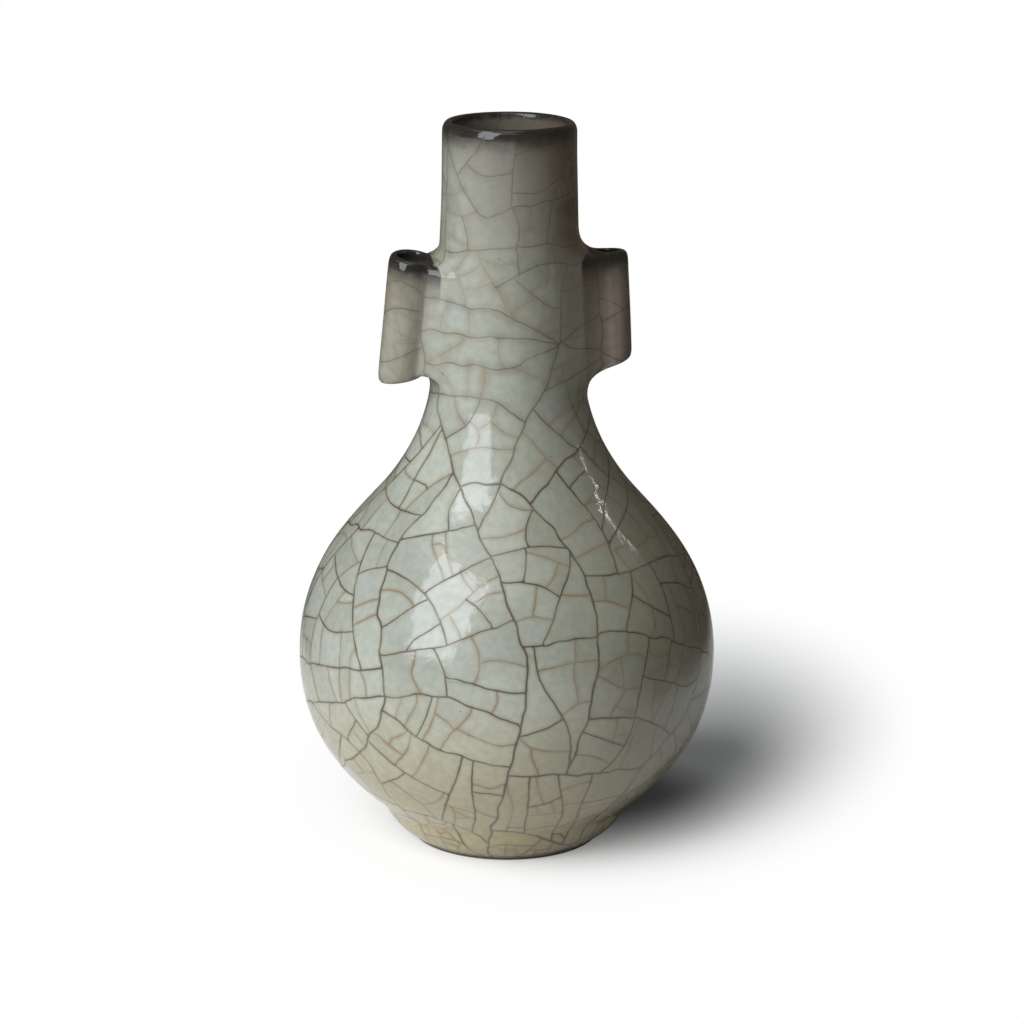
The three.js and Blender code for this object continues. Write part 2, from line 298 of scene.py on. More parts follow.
def open_mouth(mesh):
    """Cuts the plug away, level, a little way down inside the neck."""
    bm = bmesh.new()
    bm.from_mesh(mesh)

    def in_mouth(face, top):
        centre = face.calc_center_median()
        return centre.xy.length < MOUTH_REACH * MM and 0.9 * PLUG_LEVEL * MM < centre.z < top * MM

    inner = [face for face in bm.faces if in_mouth(face, math.inf)]
    edges = dict.fromkeys(edge for face in inner for edge in face.edges)
    corners = dict.fromkeys(vertex for face in inner for vertex in face.verts)
    around = [*inner, *edges, *corners]
    bmesh.ops.bisect_plane(bm, geom=around, plane_co=(0, 0, MOUTH_CUT * MM), plane_no=(0, 0, 1))
    plug = [face for face in bm.faces if in_mouth(face, MOUTH_CUT)]
    bmesh.ops.delete(bm, geom=plug, context="FACES")
    bm.to_mesh(mesh)
    bm.free()


open_mouth(clay.data)

# %% Line the vase, ring by ring, down from the open edge in the mouth
LINING_STEP = 5


def open_ends(bm):
    """The two ends of each open edge, in the order in which its face runs."""
    loops = [edge.link_loops[0] for edge in bm.edges if edge.is_boundary]
    return [(loop.vert, loop.link_loop_next.vert) for loop in loops]


def close_round(bm, ring, middle):
    """Closes an open ring with triangles that meet in the middle."""
    for start, end in ring:
        bm.faces.new((end, start, middle))


def line_inside(mesh):
    """Takes the open edge down the inner outline, ring by ring, and closes it at the floor."""
    bm = bmesh.new()
    bm.from_mesh(mesh)
    ring = open_ends(bm)
    wire = [point for point in section[lip_top:] if point[1] < MOUTH_CUT - 1.5][::LINING_STEP]
    for radius, height in wire:
        lower = {}
        for start, _ in ring:
            flat = start.co.xy.normalized() * max(radius, 0.4) * MM
            lower[start] = bm.verts.new((flat.x, flat.y, height * MM))
        for start, end in ring:
            bm.faces.new((end, start, lower[start], lower[end]))
        ring = [(lower[start], lower[end]) for start, end in ring]
    close_round(bm, ring, bm.verts.new((0, 0, section[-1][1] * MM)))
    bm.to_mesh(mesh)
    bm.free()
    print("lining:", len(wire), "rings of", len(ring), "edges")


line_inside(clay.data)

# %% [markdown]
# ## Pressing the true shape back in
#
# A remesh rounds off lips and leaves small steps. The Shrinkwrap modifier could pull the
# skin back onto the spun parts, but it can't make the soft fillet where a lug meets the
# neck. Distances can: one formula gives the distance to the spun section, one to a lug,
# and a third melts the two into each other. Every point slides to distance zero.

# %% Distances to the vessel and to a lug, in millimetres
WEB_MELT, WEB_ROUND = 1.6, 1.5
FLARE_START, FLARE_LENGTH, FLARE_MOST = 0.8, 7, 1.2


def section_distance(radius, height, line):
    """Signed distance from points to a line of clay, and the nearest point on the line."""
    points = np.stack([radius, height], 1)
    start, along = line[:-1], np.diff(line, axis=0)
    low, high = np.minimum(line[:-1, 1], line[1:, 1]), np.maximum(line[:-1, 1], line[1:, 1])
    nearest, distance = np.empty_like(points), np.empty(len(points))
    order = height.argsort()
    for part in np.array_split(order, max(1, len(order) // 1500)):
        p = points[part, None, :]
        window = (low < p[..., 1].max() + 5) & (high > p[..., 1].min() - 5)
        a, d = start[window], along[window]
        t = np.clip(((p - a) * d).sum(2) / (d * d).sum(1), 0, 1)[..., None]
        q = a + t * d
        gap = ((p - q) ** 2).sum(2)
        best = gap.argmin(1)
        rows = np.arange(len(part))
        nearest[part] = q[rows, best]
        away = p[:, 0, :] - nearest[part]
        side = away[:, 0] * d[best, 1] - away[:, 1] * d[best, 0]
        distance[part] = np.sqrt(gap[rows, best]) * np.where(side < 0, -1, 1)
    return distance, nearest


def melted(a, b, reach):
    """The smaller of two distances, with a fillet where they come close."""
    overlap = np.maximum(reach - np.abs(a - b), 0) / reach
    return np.minimum(a, b) - overlap**2 * reach / 4


def in_lug(points, lug):
    """Points seen from the mouth of a lug, with the neck on the -X side."""
    x, y, z = points[:, 0] * lug["side"] - LUG_SPREAD, points[:, 1] * lug["side"], points[:, 2] - LUG_MOUTH
    cosine, sine = math.cos(math.radians(lug["splay"])), math.sin(math.radians(lug["splay"]))
    return x * cosine + z * sine, y, z * cosine - x * sine


def lug_parts(points, lug):
    """Signed distances to the tube and to its web, which flares where it meets the neck."""
    x, y, z = in_lug(points, lug)
    mouth_rise, heel_rise = lug_slopes(lug)
    below_mouth = mouth_rise * y - z
    above_heel = z - heel_rise * np.clip(x, -TUBE_MIDDLE, TUBE_MIDDLE) + lug["length"]
    from_axis = np.hypot(x, y)
    tucked = np.clip(1 - np.minimum(below_mouth, above_heel) / TUCK_REACH, 0, 1) ** 2 * TUBE_TUCK
    past_end = np.maximum(TUBE_ROUND - below_mouth, 0) + np.maximum(TUBE_ROUND - above_heel, 0)
    tube = np.hypot(from_axis + tucked - TUBE_MIDDLE, past_end) - TUBE_ROUND
    flare = WEB_FLARE * np.clip((-x - FLARE_START) / FLARE_LENGTH, 0, FLARE_MOST)
    aside = np.abs(y) - lug["web"] - flare + WEB_ROUND
    level = WEB_SETBACK + WEB_ROUND - np.minimum(below_mouth, above_heel)
    web = np.hypot(np.maximum(aside, 0), np.maximum(level, 0)) - WEB_ROUND
    web += np.minimum(np.maximum(aside, level), 0)
    return tube, np.maximum(np.maximum(web, x), TUBE_MIDDLE - from_axis)


def lug_distance(points, lug):
    return melted(*lug_parts(points, lug), WEB_MELT)


def neck_distance(points):
    return section_distance(np.hypot(points[:, 0], points[:, 1]), points[:, 2], outside)[0]


def neck_and_lug(points, lug):
    """Signed distance to the neck with one lug melted onto it."""
    return melted(neck_distance(points), lug_distance(points, lug), lug["melt"])

# %% Slide every point of the clay onto the true shape
LUG_ZONE_LOW, LUG_ZONE_HIGH, LUG_ZONE_INNER = 124, 184, 9
NUDGE, SLIDES, LONGEST_SLIDE, LEAST_SLOPE = 0.02, 5, 0.6, 0.3


def values_of(items, name, width=1, kind=float):
    """One value, or a row of them, for every vertex, edge, corner or face of a mesh."""
    flat = np.empty(len(items) * width, dtype=kind)
    items.foreach_get(name, flat)
    return flat.reshape(-1, width) if width > 1 else flat


def coordinates(mesh):
    return values_of(mesh.vertices, "co", 3) / MM


def set_coordinates(mesh, points):
    mesh.vertices.foreach_set("co", (points * MM).ravel())
    mesh.update()


def is_outer(points):
    """True for points on the outer half of the wall."""
    return np.hypot(points[:, 0], points[:, 1]) > outer_radius(points[:, 2]) - LIP_WALL / 2


def in_lug_zone(points, lug):
    """True for points of the outer skin on or beside a lug."""
    beside = points[:, 0] * lug["side"] > LUG_ZONE_INNER
    return beside & (points[:, 2] > LUG_ZONE_LOW) & (points[:, 2] < LUG_ZONE_HIGH) & is_outer(points)


def settle(mesh):
    """Puts points on the section, and those near a lug on the melted neck and lug."""
    points = coordinates(mesh)
    radius = np.maximum(np.hypot(points[:, 0], points[:, 1]), 1e-9)
    nearest = section_distance(radius, points[:, 2], section)[1]
    settled = points * (nearest[:, :1] / radius[:, None])
    settled[:, 2] = nearest[:, 1]
    for lug in LUGS.values():
        near = in_lug_zone(points, lug)
        moving = points[near]
        for _ in range(SLIDES):
            slope = np.stack([
                neck_and_lug(moving + NUDGE * axis, lug) - neck_and_lug(moving - NUDGE * axis, lug)
                for axis in np.eye(3)
            ], 1) / (2 * NUDGE)
            gap = np.clip(neck_and_lug(moving, lug)[:, None], -LONGEST_SLIDE, LONGEST_SLIDE)
            moving = moving - gap * slope / np.maximum((slope**2).sum(1), LEAST_SLOPE)[:, None]
        settled[near] = moving
    set_coordinates(mesh, settled)


def smooth_all(repeat):
    """Evens out the faces of the clay."""
    deselect()
    bpy.context.view_layer.objects.active = clay
    bpy.ops.object.mode_set(mode="EDIT")
    bpy.ops.mesh.select_all(action="SELECT")
    bpy.ops.mesh.vertices_smooth(factor=0.5, repeat=repeat)
    bpy.ops.object.mode_set(mode="OBJECT")


settle(clay.data)
for _ in range(2):
    smooth_all(3)
    settle(clay.data)
print("settled, largest x, y and z in mm:", coordinates(clay.data).max(0).round(2).tolist())

# %% [markdown]
# ## Finer faces where the form turns quickly
#
# Only the lips and the resting rim need small faces, so only they are subdivided.

# %% Subdivide the lips and the rim
RIM_ZONE, LIP_ZONE, LUG_LIP_ZONE, TUBE_ZONE = 2.4, 4.0, 2.2, 1.2
FAR = 99


def end_gap(points):
    """How far each point is from the nearest lip: the mouth, or a lug's mouth or heel."""
    gap = LIP_LEVEL - points[:, 2]
    for lug in LUGS.values():
        x, y, z = in_lug(points, lug)
        mouth_rise, heel_rise = lug_slopes(lug)
        ends = np.minimum(np.abs(mouth_rise * y - z), np.abs(z - heel_rise * x + lug["length"]))
        ends = np.where(np.abs(np.hypot(x, y) - TUBE_MIDDLE) < TUBE_ZONE, ends, FAR)
        gap = np.minimum(gap, np.where(ends < LUG_LIP_ZONE, 0, FAR))
    return gap


def refine(piece):
    mesh = piece.data
    centres = values_of(mesh.polygons, "center", 3) / MM
    fine = (end_gap(centres) < LIP_ZONE) | (centres[:, 2] < RIM_ZONE)
    deselect()
    bpy.context.view_layer.objects.active = piece
    bpy.ops.object.mode_set(mode="EDIT")
    bpy.ops.mesh.select_all(action="DESELECT")
    bpy.ops.object.mode_set(mode="OBJECT")
    mesh.polygons.foreach_set("select", fine)
    bpy.ops.object.mode_set(mode="EDIT")
    bpy.ops.mesh.subdivide(number_cuts=1)
    bpy.ops.object.mode_set(mode="OBJECT")
    print("refined:", int(fine.sum()), "of", len(fine), "faces")


refine(clay)
settle(clay.data)
smooth_all(1)
settle(clay.data)

# %% [markdown]
# ## The hand of the potter
#
# A form pressed to a formula is too perfect, and a glossy glaze shows it at once. A slow
# waviness, three tenths of a millimetre deep at most, bends the reflections as a real pot
# does. It only goes inwards, so the pot stays inside its size. The smooth normals are
# stored before the glaze is cracked, so that the cracks can't dent the reflections.

# %% Waviness, and the smooth normals
WAVES = [(0.08, (0.055, 0.03, 0.035)), (0.05, (-0.06, 0.075, 0.02)), (0.025, (0.11, -0.05, 0.13))]


def potters_hand(mesh):
    points = coordinates(mesh)
    normals = values_of(mesh.vertices, "normal", 3)
    depth = sum(size * (1 + np.sin(points @ np.array(wave) * 2 + size * 40)) for size, wave in WAVES)
    keep = np.clip((points[:, 2] - 2) / 12, 0, 1)[:, None]
    set_coordinates(mesh, points - normals * depth[:, None] * keep)
    stored = mesh.attributes.new("glaze_normal", "FLOAT_VECTOR", "POINT")
    stored.data.foreach_set("vector", values_of(mesh.vertices, "normal", 3).ravel())
    print("waves: up to", round(float((depth * keep[:, 0]).max()), 2), "mm deep")


potters_hand(clay.data)

# %% [markdown]
# ## The crackle
#
# A crack in glaze runs until it meets an older crack, and stops there, nearly square to
# it. The first cracks are long and bold, and the later ones, which divide what is left,
# are finer. A Voronoi texture can't show that order: its cells meet in threes, all alike.
# So the skin is divided as the glaze divides itself. Each cell of faces is cut in two
# along a wavering line, and each half again, until the cells are as small as on the
# real vase. Where the photograph shows the long cracks of the front, they are listed one by one.

# %% Cut one cell of the glaze in two
SNAP = 0.08 * MM


def cut_cell(cell, height, crack, bold):
    """Cuts faces along the line where height is zero, and returns the two sides."""
    heights = {}

    def measured(vertex):
        if vertex not in heights:
            value = height(vertex.co)
            heights[vertex] = 0.0 if abs(value) < SNAP else value
        return heights[vertex]

    for edge in dict.fromkeys(e for face in cell for e in face.edges):
        start, end = edge.verts
        a, b = measured(start), measured(end)
        if a * b < 0:
            heights[bmesh.utils.edge_split(edge, start, a / (a - b))[1]] = 0.0
    above, below = [], []
    waiting = list(cell)
    while waiting:
        face = waiting.pop()
        corners = face.verts[:]
        values = [measured(v) for v in corners]
        if max(values) > 0 > min(values):
            zeros = [i for i, value in enumerate(values) if value == 0]
            pairs = [(i, j) for i in zeros for j in zeros if 1 < j - i < len(corners) - 1]
            good = [
                (i, j) for i, j in pairs
                if not any(edge.other_vert(corners[i]) is corners[j] for edge in corners[i].link_edges)
                and max(values[i + 1 : j]) * min(values[i + 1 : j]) >= 0
                and sum(values[i + 1 : j]) * sum(values[j + 1 :] + values[:i]) < 0
            ]
            if good:
                i, j = good[0]
                part, loop = bmesh.utils.face_split(face, corners[i], corners[j])
                loop.edge[crack] = max(loop.edge[crack], bold)
                waiting += [face, part]
                continue
        (above if sum(values) > 0 else below).append(face)
    high = set(above)
    for face in below:
        for edge in face.edges:
            if heights[edge.verts[0]] == 0 == heights[edge.verts[1]]:
                if any(other in high for other in edge.link_faces):
                    edge[crack] = max(edge[crack], bold)
    return above, below

# %% The long cracks of the front, given one by one
# Each has its boldness, and points in degrees round the vase and millimetres up.
ROUND_CRACKS = [
    (1.0, [(-165, 210), (-165, 150), (-162, 130), (-143, 122), (-117, 106), (-102, 91),
           (-95, 72), (-95, 57), (-101, 28), (-109, 2), (-109, -5)]),
    (0.9, [(-22, 215), (-18, 150), (-14, 112), (-28, 78), (-31, 66), (-41, 46),
           (-56, 34), (-62, 10), (-62, -5)]),
]
LONG_CRACKS = [
    (0.9, [(-100, 36), (-79, 35), (-54, 33)]),
    (0.8, [(-165, 143), (-103, 144), (-82, 146), (-62, 149)]),
    (1.0, [(-61, 146), (-72, 137), (-88, 129), (-100, 117), (-104, 112)]),
    (1.0, [(-116, 112), (-102, 112), (-89, 108), (-76, 95), (-73, 80), (-75, 66), (-82, 38)]),
    (1.0, [(-135, 110), (-143, 98), (-143, 87), (-137, 70), (-135, 53), (-146, 37), (-163, 27)]),
    (0.9, [(-87, 108), (-72, 115), (-46, 121)]),
    (0.9, [(-165, 133), (-129, 135), (-109, 134), (-90, 129)]),
    (0.8, [(-144, 152), (-91, 152), (-66, 150)]),
    (0.7, [(-150, 161), (-99, 158), (-66, 151)]),
    (0.7, [(-128, 176), (-82, 178), (-53, 177)]),
    (0.7, [(-146, 195), (-124, 186), (-107, 187), (-90, 189), (-55, 190)]),
    (0.6, [(-126, 175), (-103, 161)]),
    (0.8, [(-80, 131), (-57, 121)]),
    (0.8, [(-95, 74), (-73, 75), (-61, 74), (-36, 64)]),
    (0.9, [(-172, 57), (-160, 59), (-136, 64)]),
    (0.8, [(-158, 49), (-135, 56), (-117, 59), (-97, 52)]),
    (0.8, [(-135, 53), (-120, 44), (-100, 39)]),
    (0.7, [(-163, 43), (-145, 36), (-143, 22)]),
    (0.7, [(-137, 68), (-121, 72), (-110, 76)]),
    (0.8, [(-187, 94), (-163, 96), (-143, 96)]),
]
MAP_RADIUS = 50


def smooth_path(points):
    """A smooth line through the points, run straight on past both ends."""
    path = np.array([(math.radians(a) * MAP_RADIUS, z) for a, z in points])
    first, last = path[0] - path[1], path[-1] - path[-2]
    path = np.concatenate([[path[0] + first], path, [path[-1] + last]])
    line = []
    for p0, p1, p2, p3 in zip(path, path[1:], path[2:], path[3:]):
        for t in np.arange(0, 1, 0.1):
            line.append(0.5 * (2 * p1 + (p2 - p0) * t + (2 * p0 - 5 * p1 + 4 * p2 - p3) * t**2
                               + (3 * p1 - p0 - 3 * p2 + p3) * t**3))
    inner = len(line)
    line = np.array([*line, path[-2]])
    start, end = line[0] - line[3], line[-1] - line[-4]
    far = 200
    before, after = line[0] + far * start / np.hypot(*start), line[-1] + far * end / np.hypot(*end)
    return np.concatenate([[before], line, [after]]), inner

# %% How a crack wavers, and the heights that tell its two sides apart
BROAD_LENGTH, BROAD_DEPTH = 0.5, 0.085
FINE_LENGTH, FINE_DEPTH = 2.4, 0.24


def wobble(co, size, seed):
    """Small wavering of a crack, in metres, for a crack of about that size in millimetres."""
    broad = noise.noise(co / (BROAD_LENGTH * size * MM) + Vector((seed, 0, 0)))
    fine = noise.noise(co / (FINE_LENGTH * MM) + Vector((0, seed, 0)))
    return (BROAD_DEPTH * size * broad + FINE_DEPTH * fine) * MM


def laid_height(points, seed):
    """Height function of a crack from the given list."""
    line, _ = smooth_path(points)
    middle = line[len(line) // 2][0]
    around = 2 * math.pi * MAP_RADIUS
    starts, alongs = line[:-1], np.diff(line, axis=0)
    lengths = (alongs**2).sum(1)

    def height(co):
        u = math.atan2(co.y, co.x) * MAP_RADIUS
        u = middle + (u - middle + around / 2) % around - around / 2
        away = np.array((u, co.z / MM)) - starts
        t = np.clip((away * alongs).sum(1) / lengths, 0, 1)
        gap = away - t[:, None] * alongs
        best = int((gap**2).sum(1).argmin())
        side = away[best, 0] * alongs[best, 1] - away[best, 1] * alongs[best, 0]
        return side / math.sqrt(lengths[best]) * MM + wobble(co, 12, seed)

    return height


def round_height(points, seed):
    """Height function of a crack that runs from mouth to foot, and of its fellow behind."""
    heights = [z for _, z in reversed(points)]
    angles = [math.radians(a) for a, _ in reversed(points)]

    def height(co):
        z = co.z / MM
        turn = math.atan2(co.y, co.x) - float(np.interp(z, heights, angles))
        return math.sin(turn) * co.xy.length + wobble(co, 14, seed)

    return height

# %% How small a cell may be, and how it lies
CELL_AREAS = {
    -5: 60, 0: 30, 12: 36, 30: 48, 56: 76, 75: 120, 95: 205, 115: 225, 132: 130,
    150: 84, 175: 86, 192: 150, 206: 240,
}
HIDDEN_AREA, LUG_AREA = 200, 60
PATCH_SIZE, PATCH_DEPTH = 21, 0.9
MEASURED_FACES = 500
chance = random.Random(11)


def wanted_area(centre):
    """Size of a cell that no longer cracks, in square millimetres."""
    area = float(np.interp(centre[2], list(CELL_AREAS), list(CELL_AREAS.values())))
    radius = math.hypot(centre[0], centre[1])
    inner = centre[2] > FOOT_LEVEL and radius < float(outer_radius(centre[2])) - 2
    if radius < 21 and centre[2] < 14 or inner and centre[2] < 190:
        return HIDDEN_AREA
    if radius > 24 and centre[2] > 132:
        area = LUG_AREA
    patch = noise.noise(Vector(centre) / PATCH_SIZE + Vector((3.1, 0, 0)))
    return area * (1 + PATCH_DEPTH * patch)


def measure_cell(cell):
    """Area, middle, normal and the two long axes of a cell, in millimetres."""
    areas = np.array([face.calc_area() for face in cell])
    step = max(1, len(cell) // MEASURED_FACES)
    some, weights = cell[::step], areas[::step]
    centres = np.array([face.calc_center_median()[:] for face in some]) / MM
    normals = np.array([face.normal[:] for face in some])
    middle = (centres * weights[:, None]).sum(0) / weights.sum()
    normal = (normals * weights[:, None]).sum(0)
    normal /= max(np.linalg.norm(normal), 1e-9)
    spread = (centres - middle) * np.sqrt(weights)[:, None]
    spread -= np.outer(spread @ normal, normal)
    sizes, axes = np.linalg.eigh(spread.T @ spread / weights.sum())
    return areas.sum() / MM**2, middle, normal, axes[:, 2], np.sqrt(np.maximum(sizes[1:], 1e-6))


def cell_rim(cell):
    """Middles and directions of the edges round a cell, in millimetres."""
    rim = {}
    for face in cell:
        for edge in face.edges:
            if edge in rim:
                del rim[edge]
            else:
                rim[edge] = [vertex.co[:] for vertex in edge.verts]
    ends = np.array(list(rim.values())) / MM
    return ends.mean(1), ends[:, 1] - ends[:, 0]

# %% Lay the next crack across a cell
RIM_ASIDE, RIM_NEAR, STEEPEST, LEAST_ACROSS, NO_HIT = 1.2, 2.2, 0.75, 0.3, 999
WIDTH_FROM_SPREAD = 3.46
STRIP_RATIO, STRIP_SHARE, STRIP_OFFSET = 1.9, 0.1, 0.25
LONG_RATIO, LONG_TURN, ROUND_TURN = 1.3, 28, 90
TRIES, MOST_OFFSET, MANY_FACES = 4, 0.21, 9000
SLOPE_KEPT, SLOPE_SPREAD = 0.9, 0.24


def landing(rim, centre, across, along, sign):
    """Where a cut lands on the rim of its cell, and the slope that would meet it squarely."""
    middles, alongs = rim
    away = middles - centre
    reach, aside = away @ along * sign, np.abs(away @ across)
    hit = np.where((reach > 0) & (aside < RIM_ASIDE), reach, NO_HIT).argmin()
    if reach[hit] <= 0 or aside[hit] >= RIM_ASIDE:
        hit = np.where(reach > 0, aside, NO_HIT).argmin()
    near = alongs[((middles - middles[hit]) ** 2).sum(1) < RIM_NEAR]
    flat = np.stack([near @ across, near @ along], 1)
    _, axes = np.linalg.eigh(flat.T @ flat)
    d_across, d_along = axes[:, 1]
    askew = abs(d_along)
    if abs(d_across) <= LEAST_ACROSS:
        d_across = math.copysign(LEAST_ACROSS, d_across)
    slope = -d_along / d_across
    return max(reach[hit], 0.5), askew, float(np.clip(slope, -STEEPEST, STEEPEST))


def natural_height(cell, middle, normal, axis, sizes, area):
    """Height function of the next crack across a cell, which meets its rim squarely.

    Most cracks halve a cell across its length, and a few part a strip along it. Of a few
    tries, the one with the lowest cost is kept: square to the rim, and short. The rim of a
    cell of very many faces isn't measured, and its first try is taken.
    """
    short, long = sizes * WIDTH_FROM_SPREAD
    ratio = long / max(short, 1e-3)
    strip = ratio < STRIP_RATIO and chance.random() < STRIP_SHARE
    limit = LONG_TURN if ratio > LONG_RATIO else ROUND_TURN
    if strip:
        offset = chance.choice((-1, 1)) * STRIP_OFFSET
    else:
        offset = chance.uniform(-MOST_OFFSET, MOST_OFFSET)
    seed = chance.uniform(0, 90)
    turns = [chance.uniform(-limit, limit) + (90 if strip else 0) for _ in range(TRIES)]
    rim = cell_rim(cell) if len(cell) < MANY_FACES else None
    best = None
    for turn in turns if rim else turns[:1]:
        turn = turn if rim else 0.3 * turn
        line = Vector(axis)
        line.rotate(Matrix.Rotation(math.radians(turn), 3, Vector(normal)))
        across = np.array(line)
        along = np.cross(normal, across)
        centre = middle + across * offset * (short if strip else long)
        if not rim:
            best = (0, across, along, centre, long, long, 0.0, 0.0)
            break
        reach_1, askew_1, slope_1 = landing(rim, centre, across, along, 1)
        reach_2, askew_2, slope_2 = landing(rim, centre, across, along, -1)
        cost = askew_1 + askew_2 + 0.5 * (reach_1 + reach_2) / math.sqrt(area) + chance.uniform(0, 0.7)
        if best is None or cost < best[0]:
            best = (cost, across, along, centre, reach_1, reach_2, slope_1, slope_2)
    _, across, along, centre, reach_1, reach_2, slope_1, slope_2 = best
    slope_1 = SLOPE_KEPT * slope_1 + chance.gauss(0, SLOPE_SPREAD)
    slope_2 = SLOPE_KEPT * slope_2 + chance.gauss(0, SLOPE_SPREAD)
    bend = (slope_1 - slope_2) / (reach_1 + reach_2)
    lean = slope_1 - bend * reach_1
    across, along, centre = Vector(across), Vector(along), Vector(centre) * MM

    def height(co):
        away = co - centre
        side = away.dot(along) / MM
        kept = max(-reach_2, min(reach_1, side))
        line = lean * kept + bend * kept * kept / 2 + (lean + bend * kept) * (side - kept)
        return away.dot(across) - line * MM + wobble(co, math.sqrt(area), seed)

    return height


def boldness(area):
    """How dark a crack across a cell of that area is."""
    return min(1.0, max(0.22, 0.15 + 0.16 * math.log(area / 35) + chance.uniform(-0.14, 0.16)))

# %% Break the glaze
NEAR_CRACK = 0.8 * MM
FEWEST_FACES = 12


def search_tree(points):
    tree = kdtree.KDTree(len(points))
    for index, point in enumerate(points):
        tree.insert(point, index)
    tree.balance()
    return tree


def cut_all(cells, height, crack, bold):
    return [side for cell in cells for side in cut_cell(cell, height, crack, bold) if side]


def lay_long_cracks(cells, crack):
    """Cuts the cells along the listed cracks."""
    for number, (bold, points) in enumerate(ROUND_CRACKS):
        cells = cut_all(cells, round_height(points, 7.3 * number), crack, bold)
    for number, (bold, points) in enumerate(LONG_CRACKS):
        line, inner = smooth_path(points)
        spots = []
        for u, z in line[2:inner:3]:
            radius = float(outer_radius(z))
            turn = u / MAP_RADIUS
            spots.append(Vector((radius * math.cos(turn), radius * math.sin(turn), z)) * MM)
        height = laid_height(points, 3.7 * number + 1)
        kept = []
        for cell in cells:
            tree = search_tree([face.calc_center_median() for face in cell])
            crossed = any(tree.find(spot)[2] < NEAR_CRACK for spot in spots)
            kept += cut_all([cell], height, crack, bold) if crossed else [cell]
        cells = kept
    return cells


def break_freely(waiting, crack):
    """Cuts the cells in two until each is as small as it should be."""
    done = []
    while waiting:
        cell = waiting.pop()
        area, middle, normal, axis, sizes = measure_cell(cell)
        if area < wanted_area(middle) * chance.uniform(0.55, 2.0) or len(cell) < FEWEST_FACES:
            done.append(cell)
            continue
        height = natural_height(cell, middle, normal, axis, sizes, area)
        halves = cut_cell(cell, height, crack, boldness(area))
        if halves[0] and halves[1]:
            waiting += halves
        else:
            done.append(cell)
    return done


def shatter(mesh):
    bm = bmesh.new()
    bm.from_mesh(mesh)
    crack = bm.edges.layers.float.new("crack")
    tone = bm.faces.layers.float.new("cell_tone")
    cells = lay_long_cracks([list(bm.faces)], crack)
    print("cells after the long cracks:", len(cells))
    cells = break_freely(cells, crack)
    for cell in cells:
        value = chance.random()
        for face in cell:
            face[tone] = value
    bm.to_mesh(mesh)
    bm.free()
    print("cells:", len(cells))


shatter(clay.data)

# %% [markdown]
# ## What the glaze needs to know
#
# The colour of a point depends on how far it is from a crack, from a lip and from the
# crease beside a lug, and on whether it lies in a hollow. Nodes can't measure that, so it
# is measured here once and stored on the vertices as attributes, which the shader reads.
# A straight crack then stays straight and sharp, because every crack runs along edges of
# the mesh.

# %% Triangles, joints, and no false cracks
JOINT_LEVELS = [FOOT_LEVEL, BELLY_LEVEL, ROOT_LEVEL]


def lug_joint_gap(points, lug):
    """Positive on the neck and negative on the lug, in millimetres."""
    return lug_distance(points, lug) - neck_distance(points)


def cut_lug_joint(bm, lug, crack):
    """Cuts the skin where the lug was luted to the neck."""
    bm.faces.ensure_lookup_table()
    centres = np.array([face.calc_center_median()[:] for face in bm.faces]) / MM
    zone = np.flatnonzero(in_lug_zone(centres, lug))
    close = zone[np.abs(lug_joint_gap(centres[zone], lug)) < 3]
    faces = [bm.faces[index] for index in close]
    cut_cell(faces, lambda co: float(lug_joint_gap(np.array([co]) / MM, lug)[0]) * MM, crack, 0)
    print("faces at a lug joint:", len(faces))


def drop_flaps(bm, crack):
    """Deletes the pairs of faces without area that a triangulation can leave on one edge."""
    flaps = []
    for edge in bm.edges:
        if len(edge.link_faces) > 2:
            flat = [face for face in edge.link_faces if face.calc_area() < 1e-6 * MM]
            edge[crack] = max([edge[crack]] + [other[crack] for face in flat for other in face.edges])
            flaps += flat
    bmesh.ops.delete(bm, geom=list(dict.fromkeys(flaps)), context="FACES")
    print("flaps dropped:", len(flaps))


def prepare_mesh(mesh):
    """Cuts the luted joints, and splits each edge that would join two cracks by mistake."""
    bm = bmesh.new()
    bm.from_mesh(mesh)
    crack = bm.edges.layers.float["crack"]
    for level in JOINT_LEVELS:
        bmesh.ops.bisect_plane(
            bm, geom=bm.verts[:] + bm.edges[:] + bm.faces[:], dist=0.02 * MM,
            plane_co=(0, 0, level * MM), plane_no=(0, 0, 1),
        )
    for lug in LUGS.values():
        cut_lug_joint(bm, lug, crack)
    bmesh.ops.triangulate(bm, faces=bm.faces[:])
    drop_flaps(bm, crack)
    cracked = {v for e in bm.edges if e[crack] > 0 for v in e.verts}
    false = [e for e in bm.edges if e[crack] == 0 and e.verts[0] in cracked and e.verts[1] in cracked]
    for edge in false:
        bmesh.utils.edge_split(edge, edge.verts[0], 0.5)
    bmesh.ops.triangulate(bm, faces=[f for f in bm.faces if len(f.verts) > 3])
    drop_flaps(bm, crack)
    bm.to_mesh(mesh)
    bm.free()
    print("false cracks split:", len(false), "triangles:", len(mesh.polygons))


prepare_mesh(clay.data)

# %% Measure the distances
IRON_BOLDNESS = 0.62
FAR_FROM_CRACK, CANDIDATES = 6.0, 4
ON_LUG_REACH, CREASE_REACH, OFF_LUG = 2.5, 2.4, 90


def crack_distance(points, ends, bold):
    """Distance from each point to the nearest of these crack edges, and its boldness."""
    tree = search_tree(ends.mean(1))
    found = np.array([[hit[1] for hit in tree.find_n(point, CANDIDATES)] for point in points])
    start, along = ends[found, 0], ends[found, 1] - ends[found, 0]
    away = points[:, None, :] - start
    t = np.clip((away * along).sum(2) / np.maximum((along**2).sum(2), 1e-12), 0, 1)
    gap = np.linalg.norm(away - t[..., None] * along, axis=2)
    best = gap.argmin(1)
    rows = np.arange(len(points))
    return np.minimum(gap[rows, best], FAR_FROM_CRACK), bold[found[rows, best]]


